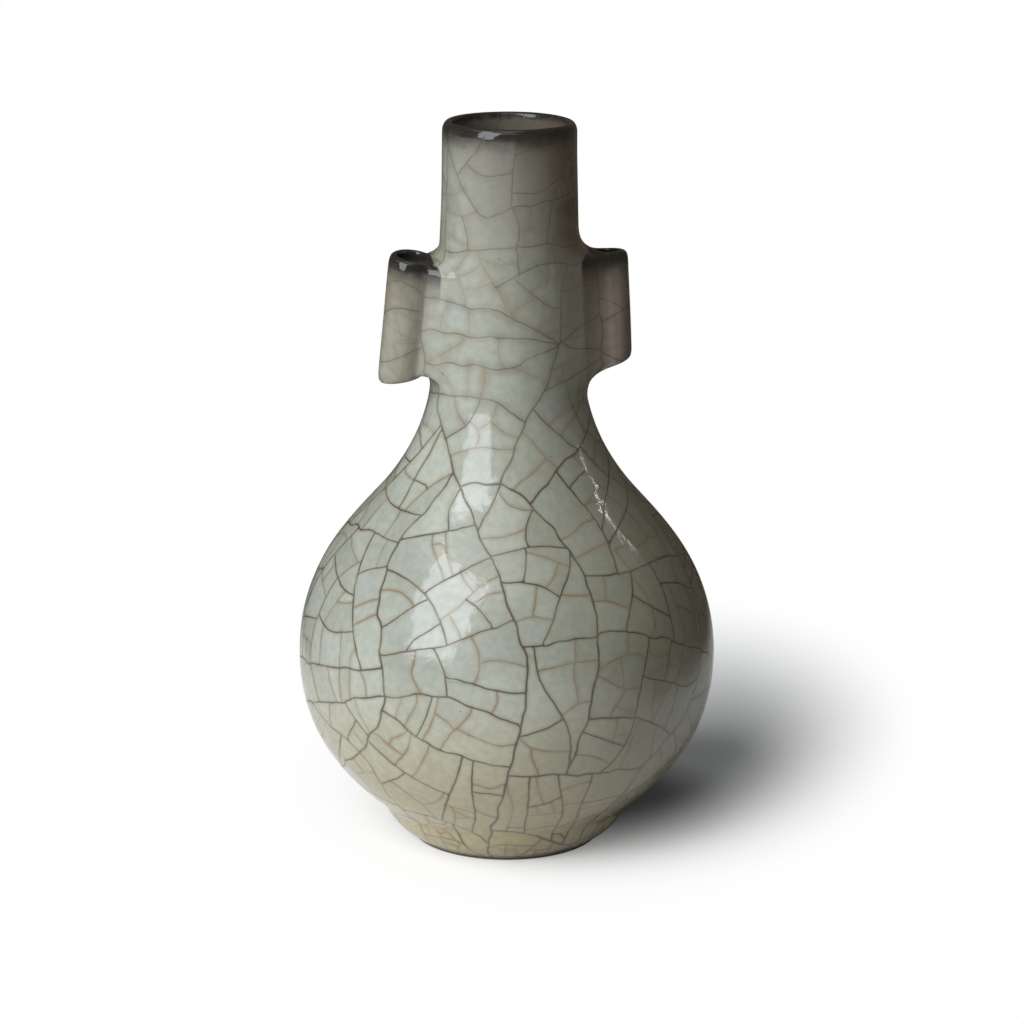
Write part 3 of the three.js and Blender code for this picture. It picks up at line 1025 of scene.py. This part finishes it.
def store(mesh, name, values):
    layer = mesh.attributes.get(name) or mesh.attributes.new(name, "FLOAT", "POINT")
    layer.data.foreach_set("value", np.asarray(values, dtype=np.float32))


def measure_cracks(mesh, points):
    """Stores how far each point is from a bold and from a fine crack, and how bold it is."""
    bold = values_of(mesh.attributes["crack"].data, "value")
    ends = points[values_of(mesh.edges, "vertices", 2, np.int64)]
    for name, chosen in (("iron", bold >= IRON_BOLDNESS), ("gold", (bold > 0) & (bold < IRON_BOLDNESS))):
        distance, strength = crack_distance(points, ends[chosen], bold[chosen])
        store(mesh, name, distance)
        store(mesh, name + "_bold", strength)
        print(name, "crack edges:", int(chosen.sum()))


def measure_edges(mesh, points):
    """Stores how far each point is from a lip, how deep in a crease, and whether in a hollow."""
    inside = ~is_outer(points) & (points[:, 2] > FLOOR_LEVEL - 1)
    rim, crease, hollow = LIP_LEVEL - points[:, 2], np.zeros(len(points)), inside * 0.5
    for lug in LUGS.values():
        zone = in_lug_zone(points, lug)
        near = points[zone]
        x, y, z = in_lug(near, lug)
        below_mouth = lug_slopes(lug)[0] * y - z
        lug_gap = lug_distance(near, lug)
        neck = neck_distance(near)
        on_lug = np.clip(neck / ON_LUG_REACH, 0, 1)
        rim[zone] = np.minimum(rim[zone], np.abs(below_mouth) + OFF_LUG * (1 - on_lug))
        tube, web = lug_parts(near, lug)
        corner = np.abs(tube - np.minimum(web, neck)) / CREASE_REACH
        crease[zone] = np.clip(1 - corner, 0, 1) * (below_mouth > 0)
        in_bore = (np.hypot(x, y) < TUBE_MIDDLE) & (lug_gap < 1) & (below_mouth > -1)
        hollow[zone] = np.where(in_bore, 1.0, hollow[zone])
    for name, values in (("rim", rim), ("crease", crease), ("hollow", hollow)):
        store(mesh, name, values)


skin_points = coordinates(clay.data)
measure_cracks(clay.data, skin_points)
measure_edges(clay.data, skin_points)

# %% [markdown]
# ## Pieces
#
# The real vase was made of six pieces, and the model keeps them: the skin is parted at
# the luted joints, under the glaze, and each piece is closed across its wall. The glaze
# runs over the joints unbroken, because each piece keeps the normals of the whole skin.

# %% Which piece each part of the skin belongs to
def piece_of(centres):
    """Which piece each point belongs to."""
    names = np.array(["fired_foot_ring", "glazed_lower_body", "glazed_upper_body", "glazed_neck"])
    chosen = names[np.digitize(centres[:, 2], JOINT_LEVELS)].astype("<U20")
    for side, lug in LUGS.items():
        zone = np.flatnonzero(in_lug_zone(centres, lug))
        chosen[zone[lug_joint_gap(centres[zone], lug) < 0]] = f"glazed_{side}_lug"
    return chosen


chosen = piece_of(np.array([face.center[:] for face in clay.data.polygons]) / MM)
print("faces:", dict(zip(*(found.tolist() for found in np.unique(chosen, return_counts=True)))))

# %% Cut out one piece, and close it across the wall
def close_across(bm, level):
    """Closes a piece across its wall at a joint, from its outer ring to its inner one."""
    ring = [e for e in bm.edges if e.is_boundary and all(abs(v.co.z / MM - level) < 0.03 for v in e.verts)]
    corners = dict.fromkeys(v for e in ring for v in e.verts)
    if not corners:
        return
    reach = sorted(v.co.xy.length for v in corners)
    rings = []
    for outer in (True, False):
        chain = sorted(
            (math.atan2(v.co.y, v.co.x), v.co.z, v) for v in corners
            if (v.co.xy.length > (reach[0] + reach[-1]) / 2) == outer
        )
        rings.append([(angle, v) for angle, _, v in chain] + [(chain[0][0] + 2 * math.pi, chain[0][2])])
    outer, inner = rings
    is_below = sum(v.co.z for v in bm.verts) / len(bm.verts) / MM < level
    i = j = 0
    while i < len(outer) - 1 or j < len(inner) - 1:
        if j == len(inner) - 1 or i < len(outer) - 1 and outer[i + 1][0] < inner[j + 1][0]:
            corners = (outer[i][1], outer[i + 1][1], inner[j][1])
            i += 1
        else:
            corners = (outer[i][1], inner[j + 1][1], inner[j][1])
            j += 1
        bm.faces.new(corners if is_below else corners[::-1])


def part_piece(whole, name, chosen):
    """The chosen faces as a closed object of their own, and how many are skin."""
    bm = bmesh.new()
    bm.from_mesh(whole.data)
    bm.faces.ensure_lookup_table()
    bmesh.ops.delete(bm, geom=[f for f in bm.faces if chosen[f.index] != name], context="FACES")
    skin_faces = len(bm.faces)
    for level in JOINT_LEVELS:
        close_across(bm, level)
    for lug in LUGS.values():
        ring = [ends for ends in open_ends(bm) if ends[0].co.x * lug["side"] > 0]
        if ring:
            close_round(bm, ring, bm.verts.new(sum((start.co for start, _ in ring), Vector()) / len(ring)))
    loose = sum(not edge.is_manifold for edge in bm.edges)
    mesh = bpy.data.meshes.new(name)
    bm.to_mesh(mesh)
    bm.free()
    piece = bpy.data.objects.new(name, mesh)
    bpy.context.collection.objects.link(piece)
    in_joints = len(mesh.polygons) - skin_faces
    print(name, len(mesh.polygons), "triangles,", in_joints, "in its joints,", loose, "open")
    return piece, skin_faces

# %% Normals of the glaze
CELL_LEAN, CELL_TURNS = 0.03, 700


def set_glaze_normals(piece, skin_faces):
    """Gives the skin its normals from before it was cracked, each cell leaning a little."""
    mesh = piece.data
    stored = values_of(mesh.attributes["glaze_normal"].data, "vector", 3, np.float32)
    normals = stored[values_of(mesh.loops, "vertex_index", kind=np.int64)]
    tones = values_of(mesh.attributes["cell_tone"].data, "value", kind=np.float32)
    turn = np.repeat(tones, 3) * CELL_TURNS
    lean = CELL_LEAN * (0.4 + 0.6 * np.abs(np.sin(2.3 * turn)))
    towards = np.stack([np.cos(turn), np.sin(turn), np.cos(1.7 * turn)], 1)
    normals += np.cross(normals, towards) * lean[:, None]
    normals /= np.maximum(np.linalg.norm(normals, axis=1), 1e-6)[:, None]
    for face in mesh.polygons[skin_faces:]:
        normals[list(face.loop_indices)] = face.normal
    mesh.polygons.foreach_set("use_smooth", [True] * len(mesh.polygons))
    mesh.normals_split_custom_set(normals)

# %% Part the skin at its joints, and hand over the pieces
pieces = {}
for name, node in (
    ("fired_foot_ring", "foot_ring"), ("glazed_lower_body", "lower_body"),
    ("glazed_upper_body", "upper_body"), ("glazed_neck", "neck"),
    ("glazed_left_lug", "left_lug"), ("glazed_right_lug", "right_lug"),
):
    piece, skin_faces = part_piece(clay, name, chosen)
    set_glaze_normals(piece, skin_faces)
    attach(piece, "root")
    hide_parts(node)
    pieces[name] = piece
bpy.data.objects.remove(clay)

# %% [markdown]
# ## The glaze
#
# Celadon is a thick, milky, grey-green glass over a grey body. It could be one flat
# green under a gloss, but a fired glaze never repeats: each cell between the cracks has
# cooled to a tone of its own, iron has bled into the cracks, and where the glaze runs thin,
# at the lips, the dark body shows through. So the colour is built up in layers, each laid
# over the last by a measured distance.
#
# The right side is darker and browner here, by its place on the pot: partly the glaze's own
# colour, partly painted shade. A photograph can't say how much of that is glaze and how much
# is shade, so it stays when the pot is turned.

# %% Helpers for building a material from nodes
def put(tree, kind, inputs=None, **settings):
    """Adds a node; each input is given a value or is linked to a socket."""
    made = tree.nodes.new("ShaderNode" + kind)
    for name, value in settings.items():
        setattr(made, name, value)
    for key, value in (inputs or {}).items():
        if isinstance(value, bpy.types.NodeSocket):
            tree.links.new(value, made.inputs[key])
        else:
            made.inputs[key].default_value = value
    return made


def measured(tree, name):
    return put(tree, "Attribute", attribute_name=name).outputs["Fac"]


def cloudy(tree, place, size, detail=2.0):
    """Noise with features of about that size in millimetres."""
    return put(tree, "TexNoise", {"Vector": place, "Scale": 1 / (size * MM), "Detail": detail}).outputs["Fac"]


def passing(tree, value, start, end, low=0.0, high=1.0):
    """Goes smoothly from low to high while the value goes from start to end."""
    inputs = {"Value": value, "From Min": start, "From Max": end, "To Min": low, "To Max": high}
    return put(tree, "MapRange", inputs, interpolation_type="SMOOTHSTEP").outputs["Result"]


def reckon(tree, operation, a, b):
    return put(tree, "Math", {0: a, 1: b}, operation=operation).outputs[0]


def times(tree, a, b):
    return reckon(tree, "MULTIPLY", a, b)


def gauge(tree, operation, *vectors):
    """A length, a distance or a dot product of vectors."""
    return put(tree, "VectorMath", dict(enumerate(vectors)), operation=operation).outputs["Value"]


def bare_tree(holder):
    """The node tree of a material or a world, with nothing in it yet."""
    holder.use_nodes = True
    holder.node_tree.nodes.clear()
    return holder.node_tree


def shown_white(tree):
    """One for camera rays, and one for all rays that should find a white room."""
    path = put(tree, "LightPath").outputs
    mirrored = reckon(tree, "MAXIMUM", path["Is Glossy Ray"], path["Is Transmission Ray"])
    return path["Is Camera Ray"], reckon(tree, "MAXIMUM", path["Is Camera Ray"], mirrored)


def laid_over(tree, share, under, over):
    under = under if isinstance(under, bpy.types.NodeSocket) else (*under, 1)
    over = over if isinstance(over, bpy.types.NodeSocket) else (*over, 1)
    return put(tree, "Mix", {0: share, 6: under, 7: over}, data_type="RGBA").outputs[2]

# %% Colours of the glaze, where the fire marked it, and where shade is painted
PALE_CELADON, DEEP_CELADON, BEIGE_CELADON = (0.345, 0.362, 0.32), (0.262, 0.278, 0.24), (0.31, 0.29, 0.21)
# The olive is both the glaze's own grain and painted shade on the right side.
# The warm tone is partly the glaze's own yellower colour low on the pot, partly painted light from the floor.
BLUE_CELADON, WARM_TONE_AND_PAINTED_FLOOR_LIGHT, OLIVE_TONE_AND_PAINTED_SHADE = (0.30, 0.325, 0.305), (0.43, 0.37, 0.215), (0.125, 0.108, 0.058)
STAIN, RUST, GREY_STAIN = (0.18, 0.14, 0.085), (0.20, 0.095, 0.05), (0.15, 0.14, 0.11)
IRON_LINE, GOLD_LINE = (0.05, 0.043, 0.034), (0.14, 0.10, 0.062)
# Thin glaze is the glaze's own colour at the lips; the same colour also paints shade in hollows, creases and
# on the right side.
BURNT_RIM, THIN_GLAZE_AND_PAINTED_SHADE, BARE_CLAY = (0.017, 0.015, 0.013), (0.085, 0.073, 0.056), (0.13, 0.075, 0.045)
# The scorch colour also stands for painted shade on the neck's right side.
SCORCH_AND_PAINTED_SHADE, BLUSHED = (0.07, 0.042, 0.023), (0.26, 0.20, 0.175)

# Each mark: where it begins and ends across and upwards, in metres, with the
# shares there if they aren't 0 and 1, and its colour. Most also hold painted shade on the
# side away from the window; the blush is the right lug's own colour.
ABOVE_SHOULDER, UP_THE_NECK = (0.125, 0.14), (0.112, 0.142)
FIRE_MARKS_AND_PAINTED_SHADE = [
    # stain and painted shade: the right side of the neck, darker brown from the shoulder up
    ((0.004, 0.02), (0.125, 0.165, 0.0, 0.62), THIN_GLAZE_AND_PAINTED_SHADE),
    # the right lug's own pink-brown blush
    ((0.02, 0.026, 0.0, 0.8), ABOVE_SHOULDER, BLUSHED),
    # painted shade: the far right edge of the right lug, darker
    ((0.0285, 0.034, 0.0, 0.75), ABOVE_SHOULDER, THIN_GLAZE_AND_PAINTED_SHADE),
    # the outer half of the left lug, a little darker olive
    ((-0.03, -0.02, 0.4, 0.0), ABOVE_SHOULDER, OLIVE_TONE_AND_PAINTED_SHADE),
    # thin glaze and painted shade: the top of the neck, darker, more so towards the right
    ((-0.018, 0.0, 0.45, 1.0), (0.145, 0.203, 0.0, 0.72), THIN_GLAZE_AND_PAINTED_SHADE),
    # scorch and painted shade: the right side of the upper neck, dark brown
    ((0.003, 0.017), (0.155, 0.195, 0.0, 0.7), SCORCH_AND_PAINTED_SHADE),
]

# %% The glaze between the cracks, with painted shade and painted floor light
def celadon(tree, place, side, height):
    """The glaze between the cracks, with painted shade on the right and painted floor light low on the pot.
    """
    cell = measured(tree, "cell_tone")
    slow = cloudy(tree, place, 24)
    tone = reckon(tree, "ADD", times(tree, cell, 0.5), times(tree, slow, 0.9))
    colour = laid_over(tree, passing(tree, tone, 0.35, 1.2), PALE_CELADON, DEEP_CELADON)
    blueness = put(tree, "Math", {0: times(tree, cell, 7.3)}, operation="FRACT").outputs[0]
    colour = laid_over(tree, passing(tree, blueness, 0.4, 1.0, 0.0, 0.4), colour, BLUE_CELADON)
    near_crack = reckon(tree, "MINIMUM", measured(tree, "iron"), measured(tree, "gold"))
    milky = reckon(tree, "ADD", near_crack, times(tree, cloudy(tree, place, 6), 3.0))
    colour = laid_over(tree, passing(tree, milky, 1.2, 3.6, 0.36, 0.0), colour, BEIGE_CELADON)
    # painted light: low on the pot the glaze is painted paler and warmer, partly its own tone, partly painted
    # floor light
    low = reckon(tree, "ADD", height, times(tree, slow, 0.014))
    colour = laid_over(tree, passing(tree, low, 0.012, 0.075, 0.95, 0.0), colour, WARM_TONE_AND_PAINTED_FLOOR_LIGHT)
    grain = passing(tree, cloudy(tree, place, 2.2, 5), 0.38, 0.62, 0.0, 0.14)
    colour = laid_over(tree, grain, colour, OLIVE_TONE_AND_PAINTED_SHADE)
    # painted shade: the right side (+X), away from the window, is painted darker olive over the glaze's own
    # tone
    colour = laid_over(tree, passing(tree, side, -0.03, 0.05, 0.0, 0.7), colour, OLIVE_TONE_AND_PAINTED_SHADE)
    for across, upwards, tint in FIRE_MARKS_AND_PAINTED_SHADE:
        share = times(tree, passing(tree, side, *across), passing(tree, height, *upwards))
        colour = laid_over(tree, share, colour, tint)
    return colour

# %% The cracks, and what has bled from them
def cracked(tree, place, height, colour):
    """Iron and gold lines, each in the stain that it has bled into the glaze."""
    iron, gold = measured(tree, "iron"), measured(tree, "gold")
    along = cloudy(tree, place, 9)
    clear = passing(tree, height, *UP_THE_NECK, 1.0, 0.5)
    soft = passing(tree, height, *UP_THE_NECK, 1.2, 2.6)
    bleeding = passing(tree, along, 0.4, 0.68, 0.45, 1.0)
    iron_stain = times(tree, passing(tree, iron, 0.1, soft, 0.42, 0.0), bleeding)
    gold_stain = times(tree, passing(tree, gold, 0.05, soft, 0.42, 0.0), bleeding)
    stain = laid_over(tree, passing(tree, cloudy(tree, place, 15), 0.5, 0.64), STAIN, RUST)
    stain = laid_over(tree, passing(tree, height, *UP_THE_NECK, 0.0, 0.75), stain, GREY_STAIN)
    colour = laid_over(tree, gold_stain, colour, stain)
    colour = laid_over(tree, iron_stain, colour, laid_over(tree, 0.6, stain, GREY_STAIN))
    strength = times(tree, measured(tree, "gold_bold"), passing(tree, along, 0.25, 0.6, 0.9, 1.9))
    gold_line = times(tree, passing(tree, gold, 0.03, 0.36, 0.6, 0.0), times(tree, strength, clear))
    reach = times(tree, measured(tree, "iron_bold"), 0.48)
    iron_share = times(tree, passing(tree, along, 0.3, 0.6, 0.6, 0.95), clear)
    iron_line = passing(tree, iron, 0.04, reach, iron_share, 0.0)
    colour = laid_over(tree, gold_line, colour, GOLD_LINE)
    return laid_over(tree, iron_line, colour, IRON_LINE), iron_line, gold_line

# %% Thin glaze at the edges, and painted shade in hollows and creases
def thinned_and_shaded(tree, place, side, colour):
    """Thin dark glaze at the lips, and painted shade in the hollows and in the creases beside the lugs."""
    hollow = measured(tree, "hollow")
    ragged = times(tree, cloudy(tree, place, 3.5, 4), 3.5)
    rim = reckon(tree, "ADD", measured(tree, "rim"), ragged)
    # painted shade: the crease beside each lug is painted darker, mostly on the left
    mostly_left = passing(tree, side, -0.01, 0.01, 0.65, 0.1)
    crease = times(tree, passing(tree, measured(tree, "crease"), 0.35, 1.0), mostly_left)
    colour = laid_over(tree, crease, colour, THIN_GLAZE_AND_PAINTED_SHADE)
    # painted shade: the hollows, inside the mouth and in the lug bores, are painted darker
    colour = laid_over(tree, times(tree, hollow, 0.6), colour, THIN_GLAZE_AND_PAINTED_SHADE)
    colour = laid_over(tree, passing(tree, rim, 5.0, 17.0, 0.55, 0.0), colour, THIN_GLAZE_AND_PAINTED_SHADE)
    in_mouth = times(tree, hollow, reckon(tree, "SUBTRACT", 1.0, hollow))
    spared = times(tree, in_mouth, passing(tree, rim, 2.5, 5.0, 0.0, 3.6))
    burnt = reckon(tree, "SUBTRACT", passing(tree, rim, 3.0, 9.5, 0.97, 0.0), spared)
    burnt = reckon(tree, "MAXIMUM", burnt, 0.0)
    return laid_over(tree, burnt, colour, BURNT_RIM)

# %% The celadon glaze
def glaze_material(name):
    material = bpy.data.materials.new(name)
    material.use_nodes = True
    tree = material.node_tree
    shader = tree.nodes["Principled BSDF"]
    place = put(tree, "TexCoord").outputs["Object"]
    split = put(tree, "SeparateXYZ", {0: place})
    side, height = split.outputs["X"], split.outputs["Z"]
    colour, iron_line, gold_line = cracked(tree, place, height, celadon(tree, place, side, height))
    colour = thinned_and_shaded(tree, place, side, colour)
    dots = put(tree, "TexVoronoi", {"Vector": place, "Scale": 1 / (8 * MM)})
    speck = passing(tree, dots.outputs["Distance"], 0.015, 0.035, 0.8, 0.0)
    colour = laid_over(tree, speck, colour, IRON_LINE)
    bare = passing(tree, height, 0.0009, 0.0016, 1.0, 0.0)
    colour = laid_over(tree, bare, colour, BARE_CLAY)
    tree.links.new(colour, shader.inputs["Base Color"])
    gloss = passing(tree, cloudy(tree, place, 14), 0.3, 0.7, 0.06, 0.13)
    rough = reckon(tree, "ADD", gloss, times(tree, iron_line, 0.25))
    rough = reckon(tree, "MAXIMUM", rough, times(tree, bare, 0.75))
    tree.links.new(rough, shader.inputs["Roughness"])
    skin = reckon(tree, "ADD", times(tree, cloudy(tree, place, 4.5, 3), 1.3),
                  times(tree, cloudy(tree, place, 1.4), 0.03))
    grooves = reckon(tree, "ADD", times(tree, iron_line, 0.35), times(tree, gold_line, 0.12))
    relief = reckon(tree, "SUBTRACT", skin, grooves)
    bump = put(tree, "Bump", {"Height": relief, "Strength": 1.0, "Distance": 0.12 * MM})
    tree.links.new(bump.outputs["Normal"], shader.inputs["Normal"])
    shader.inputs["IOR"].default_value = 1.52
    return material


glaze = glaze_material("celadon_glaze")
for name, piece in pieces.items():
    piece.data.materials.clear()
    piece.data.materials.append(glaze)
print("glaze:", len(glaze.node_tree.nodes), "nodes on", len(pieces), "pieces")

# %% [markdown]
# ## The studio
#
# The vase stands on a sheet of white paper, in a room with one tall window to the left.
# A floor lit to white would need more light than the vase can bear, so the paper turns
# plain white, to the camera and in reflections, only away from the vase. Near the vase it
# is real paper, and takes the shadow. The edge of the white is an ellipse laid along the
# shadow, and close to the foot the paper is painted darker, a painted shadow: both help to
# shape what the lamps cast.
#
# Three lamps light it. The window is seen in the gloss. The room light softens the shade
# and is kept out of the gloss, where it would be a second window. The glint is a small bar
# seen only in the gloss, for the thin line of light on the right shoulder. Two rings of
# dark cloth, which the camera doesn't see, keep the white room out of the reflections.

# %% White paper
SHADOW_MIDDLE, SHADOW_TURN, SHADOW_SIZE = (0.045, 0.075, 0), 66, (0.13, 0.075, 1)
FOOT_SHADE = (0.03, 0.02, 0)
PAPER_SIZE = 14


def paper_material():
    material = bpy.data.materials.new("white_paper")
    tree = bare_tree(material)
    place = put(tree, "TexCoord").outputs["Object"]
    turn = (0, 0, math.radians(SHADOW_TURN))
    ellipse = {0: place, 1: SHADOW_MIDDLE, 2: turn, 3: SHADOW_SIZE}
    shadow = put(tree, "Mapping", ellipse, vector_type="TEXTURE")
    away = gauge(tree, "LENGTH", shadow.outputs[0])
    by_camera, seen = shown_white(tree)
    far = gauge(tree, "LENGTH", place)
    mirrored = times(tree, reckon(tree, "SUBTRACT", seen, by_camera), passing(tree, far, 0.15, 0.4))
    share = reckon(tree, "MAXIMUM", times(tree, by_camera, passing(tree, away, 0.5, 1.35)), mirrored)
    near = gauge(tree, "DISTANCE", place, FOOT_SHADE)
    # painted shadow: the paper is painted dark grey close to the foot
    bare = laid_over(tree, passing(tree, near, 0.02, 0.052), (0.3, 0.3, 0.3), (0.95, 0.95, 0.95))
    tint = laid_over(tree, seen, (0.65, 0.65, 0.65), bare)
    paper = put(tree, "BsdfDiffuse", {"Color": tint}).outputs[0]
    white = put(tree, "Emission", {"Color": (1, 1, 1, 1), "Strength": 1.0}).outputs[0]
    mixed = put(tree, "MixShader", {0: share, 1: paper, 2: white}).outputs[0]
    put(tree, "OutputMaterial", {"Surface": mixed})
    return material


deselect()
bpy.ops.mesh.primitive_plane_add(size=PAPER_SIZE)
paper = bpy.context.object
paper.name = "paper"
paper.data.materials.append(paper_material())
print("paper:", PAPER_SIZE, "m wide, white outside an ellipse of", SHADOW_SIZE[:2], "m")

# %% Window, glint and room light
WINDOW_AZIMUTH, ROOM_AZIMUTH, GLINT_AZIMUTH, VIEW_AZIMUTH = -142, -144, -6, -100
BELLY_HEIGHT, GLINT_HEIGHT = 0.09, 0.16


def lamp(name, width, height, radiance, colour, azimuth, elevation, distance):
    """A soft lamp that looks at the belly of the vase from that direction, in degrees."""
    light = bpy.data.lights.new(name, "AREA")
    light.shape, light.size, light.size_y = "RECTANGLE", width, height
    light.energy, light.color = radiance * math.pi * width * height, colour
    holder = bpy.data.objects.new(name, light)
    bpy.context.collection.objects.link(holder)
    turn, rise = math.radians(azimuth), math.radians(elevation)
    away = Vector((math.cos(turn) * math.cos(rise), math.sin(turn) * math.cos(rise), math.sin(rise)))
    holder.location = away * distance + Vector((0, 0, BELLY_HEIGHT))
    holder.rotation_euler = away.to_track_quat("Z", "Y").to_euler()
    holder.visible_camera = False
    print(name, round(light.energy, 2), "W,", distance, "m away")
    return holder


lamp("window_light", 0.8, 1.45, 4.9, (0.88, 0.94, 1.0), WINDOW_AZIMUTH, 32, 1.5)
glint = lamp("glint_light", 0.065, 0.003, 9.0, (1.0, 1.0, 1.0), GLINT_AZIMUTH, 0, 0.112)
glint.location.z, glint.rotation_euler = GLINT_HEIGHT, (0, 0, math.radians(GLINT_AZIMUTH))
glint.visible_diffuse = False
room_light = lamp("room_light", 1.6, 1.6, 4.4, (1.0, 0.985, 0.94), ROOM_AZIMUTH, 35, 2.0)
room_light.visible_glossy = False

# %% Dark cloth, which only the glaze can see
def level_direction(azimuth):
    turn = math.radians(azimuth)
    return (math.cos(turn), math.sin(turn), 0)


def dark_cloth(name, radius, height, colour, share_of):
    """An upright ring of cloth round the vase; share_of gives how dense it is, from its nodes."""
    deselect()
    bpy.ops.mesh.primitive_circle_add(vertices=96, radius=radius)
    bpy.ops.object.mode_set(mode="EDIT")
    bpy.ops.mesh.extrude_region_move(TRANSFORM_OT_translate={"value": (0, 0, height)})
    bpy.ops.object.mode_set(mode="OBJECT")
    cloth = bpy.context.object
    cloth.name = name
    material = bpy.data.materials.new(name)
    tree = bare_tree(material)
    place = put(tree, "TexCoord").outputs["Object"]
    dark = put(tree, "BsdfDiffuse", {"Color": (*colour, 1)}).outputs[0]
    clear = put(tree, "BsdfTransparent").outputs[0]
    share = share_of(tree, place)
    put(tree, "OutputMaterial", {"Surface": put(tree, "MixShader", {0: share, 1: clear, 2: dark}).outputs[0]})
    cloth.data.materials.append(material)
    cloth.visible_camera = cloth.visible_diffuse = cloth.visible_shadow = False
    print(name, "ring:", radius, "m in radius,", height, "m high")


def soft_opening(tree, place):
    """Clear towards the window and down at the table in front, dense everywhere else."""
    window = gauge(tree, "DOT_PRODUCT", place, level_direction(WINDOW_AZIMUTH))
    front = gauge(tree, "DOT_PRODUCT", place, level_direction(VIEW_AZIMUTH))
    height = put(tree, "SeparateXYZ", {0: place}).outputs["Z"]
    behind = times(tree, passing(tree, front, 0.05, 0.12, 1.0, 0.0), passing(tree, height, 0.0, 0.05))
    low = reckon(tree, "MAXIMUM", passing(tree, height, 0.0, 0.1), behind)
    return times(tree, passing(tree, window, 0.05, 0.125, 1.0, 0.0), low)


dark_cloth("far_cloth", 3.2, 3.4, (0.05, 0.05, 0.05), lambda tree, place: 1.0)
dark_cloth("near_cloth", 0.15, 0.8, (0.09, 0.07, 0.05), soft_opening)

# %% The room: dim to the vase, white to the camera
room = bpy.data.worlds.new("room")
bpy.context.scene.world = room
tree = bare_tree(room)
_, seen = shown_white(tree)
backdrop = put(tree, "Background", {"Color": (1, 1, 1, 1), "Strength": 1.0}).outputs[0]
dim = put(tree, "Background", {"Color": (0.95, 0.98, 1.0, 1), "Strength": 0.15}).outputs[0]
put(tree, "OutputWorld", {"Surface": put(tree, "MixShader", {0: seen, 1: dim, 2: backdrop}).outputs[0]})

# %% The camera, at the place that the outline of the vase gave
VIEW_DISTANCE, VIEW_HEIGHT, VIEW_TILT, VIEW_ROLL = 0.9845, 0.3577, 14.86, 0.35
VIEW_LENS, VIEW_SHIFT = 124.3, 4.5 / 1024


def turned(degrees, axis):
    return Matrix.Rotation(math.radians(degrees), 3, axis)


camera = bpy.data.objects.new("camera", bpy.data.cameras.new("camera"))
bpy.context.collection.objects.link(camera)
camera.data.sensor_width = 36
camera.data.lens = VIEW_LENS
camera.data.clip_start, camera.data.clip_end = 0.05, 50
view_turn = math.radians(VIEW_AZIMUTH)
camera.location = (VIEW_DISTANCE * math.cos(view_turn), VIEW_DISTANCE * math.sin(view_turn), VIEW_HEIGHT)
looking = turned(VIEW_AZIMUTH + 90, "Z") @ turned(90 - VIEW_TILT, "X") @ turned(VIEW_ROLL, "Z")
camera.rotation_euler = looking.to_euler()
camera.data.shift_x = VIEW_SHIFT
print("camera:", [round(v, 3) for v in camera.location], "m, lens", VIEW_LENS, "mm")
bpy.context.scene.camera = camera
bpy.context.scene.view_settings.view_transform = "Standard"
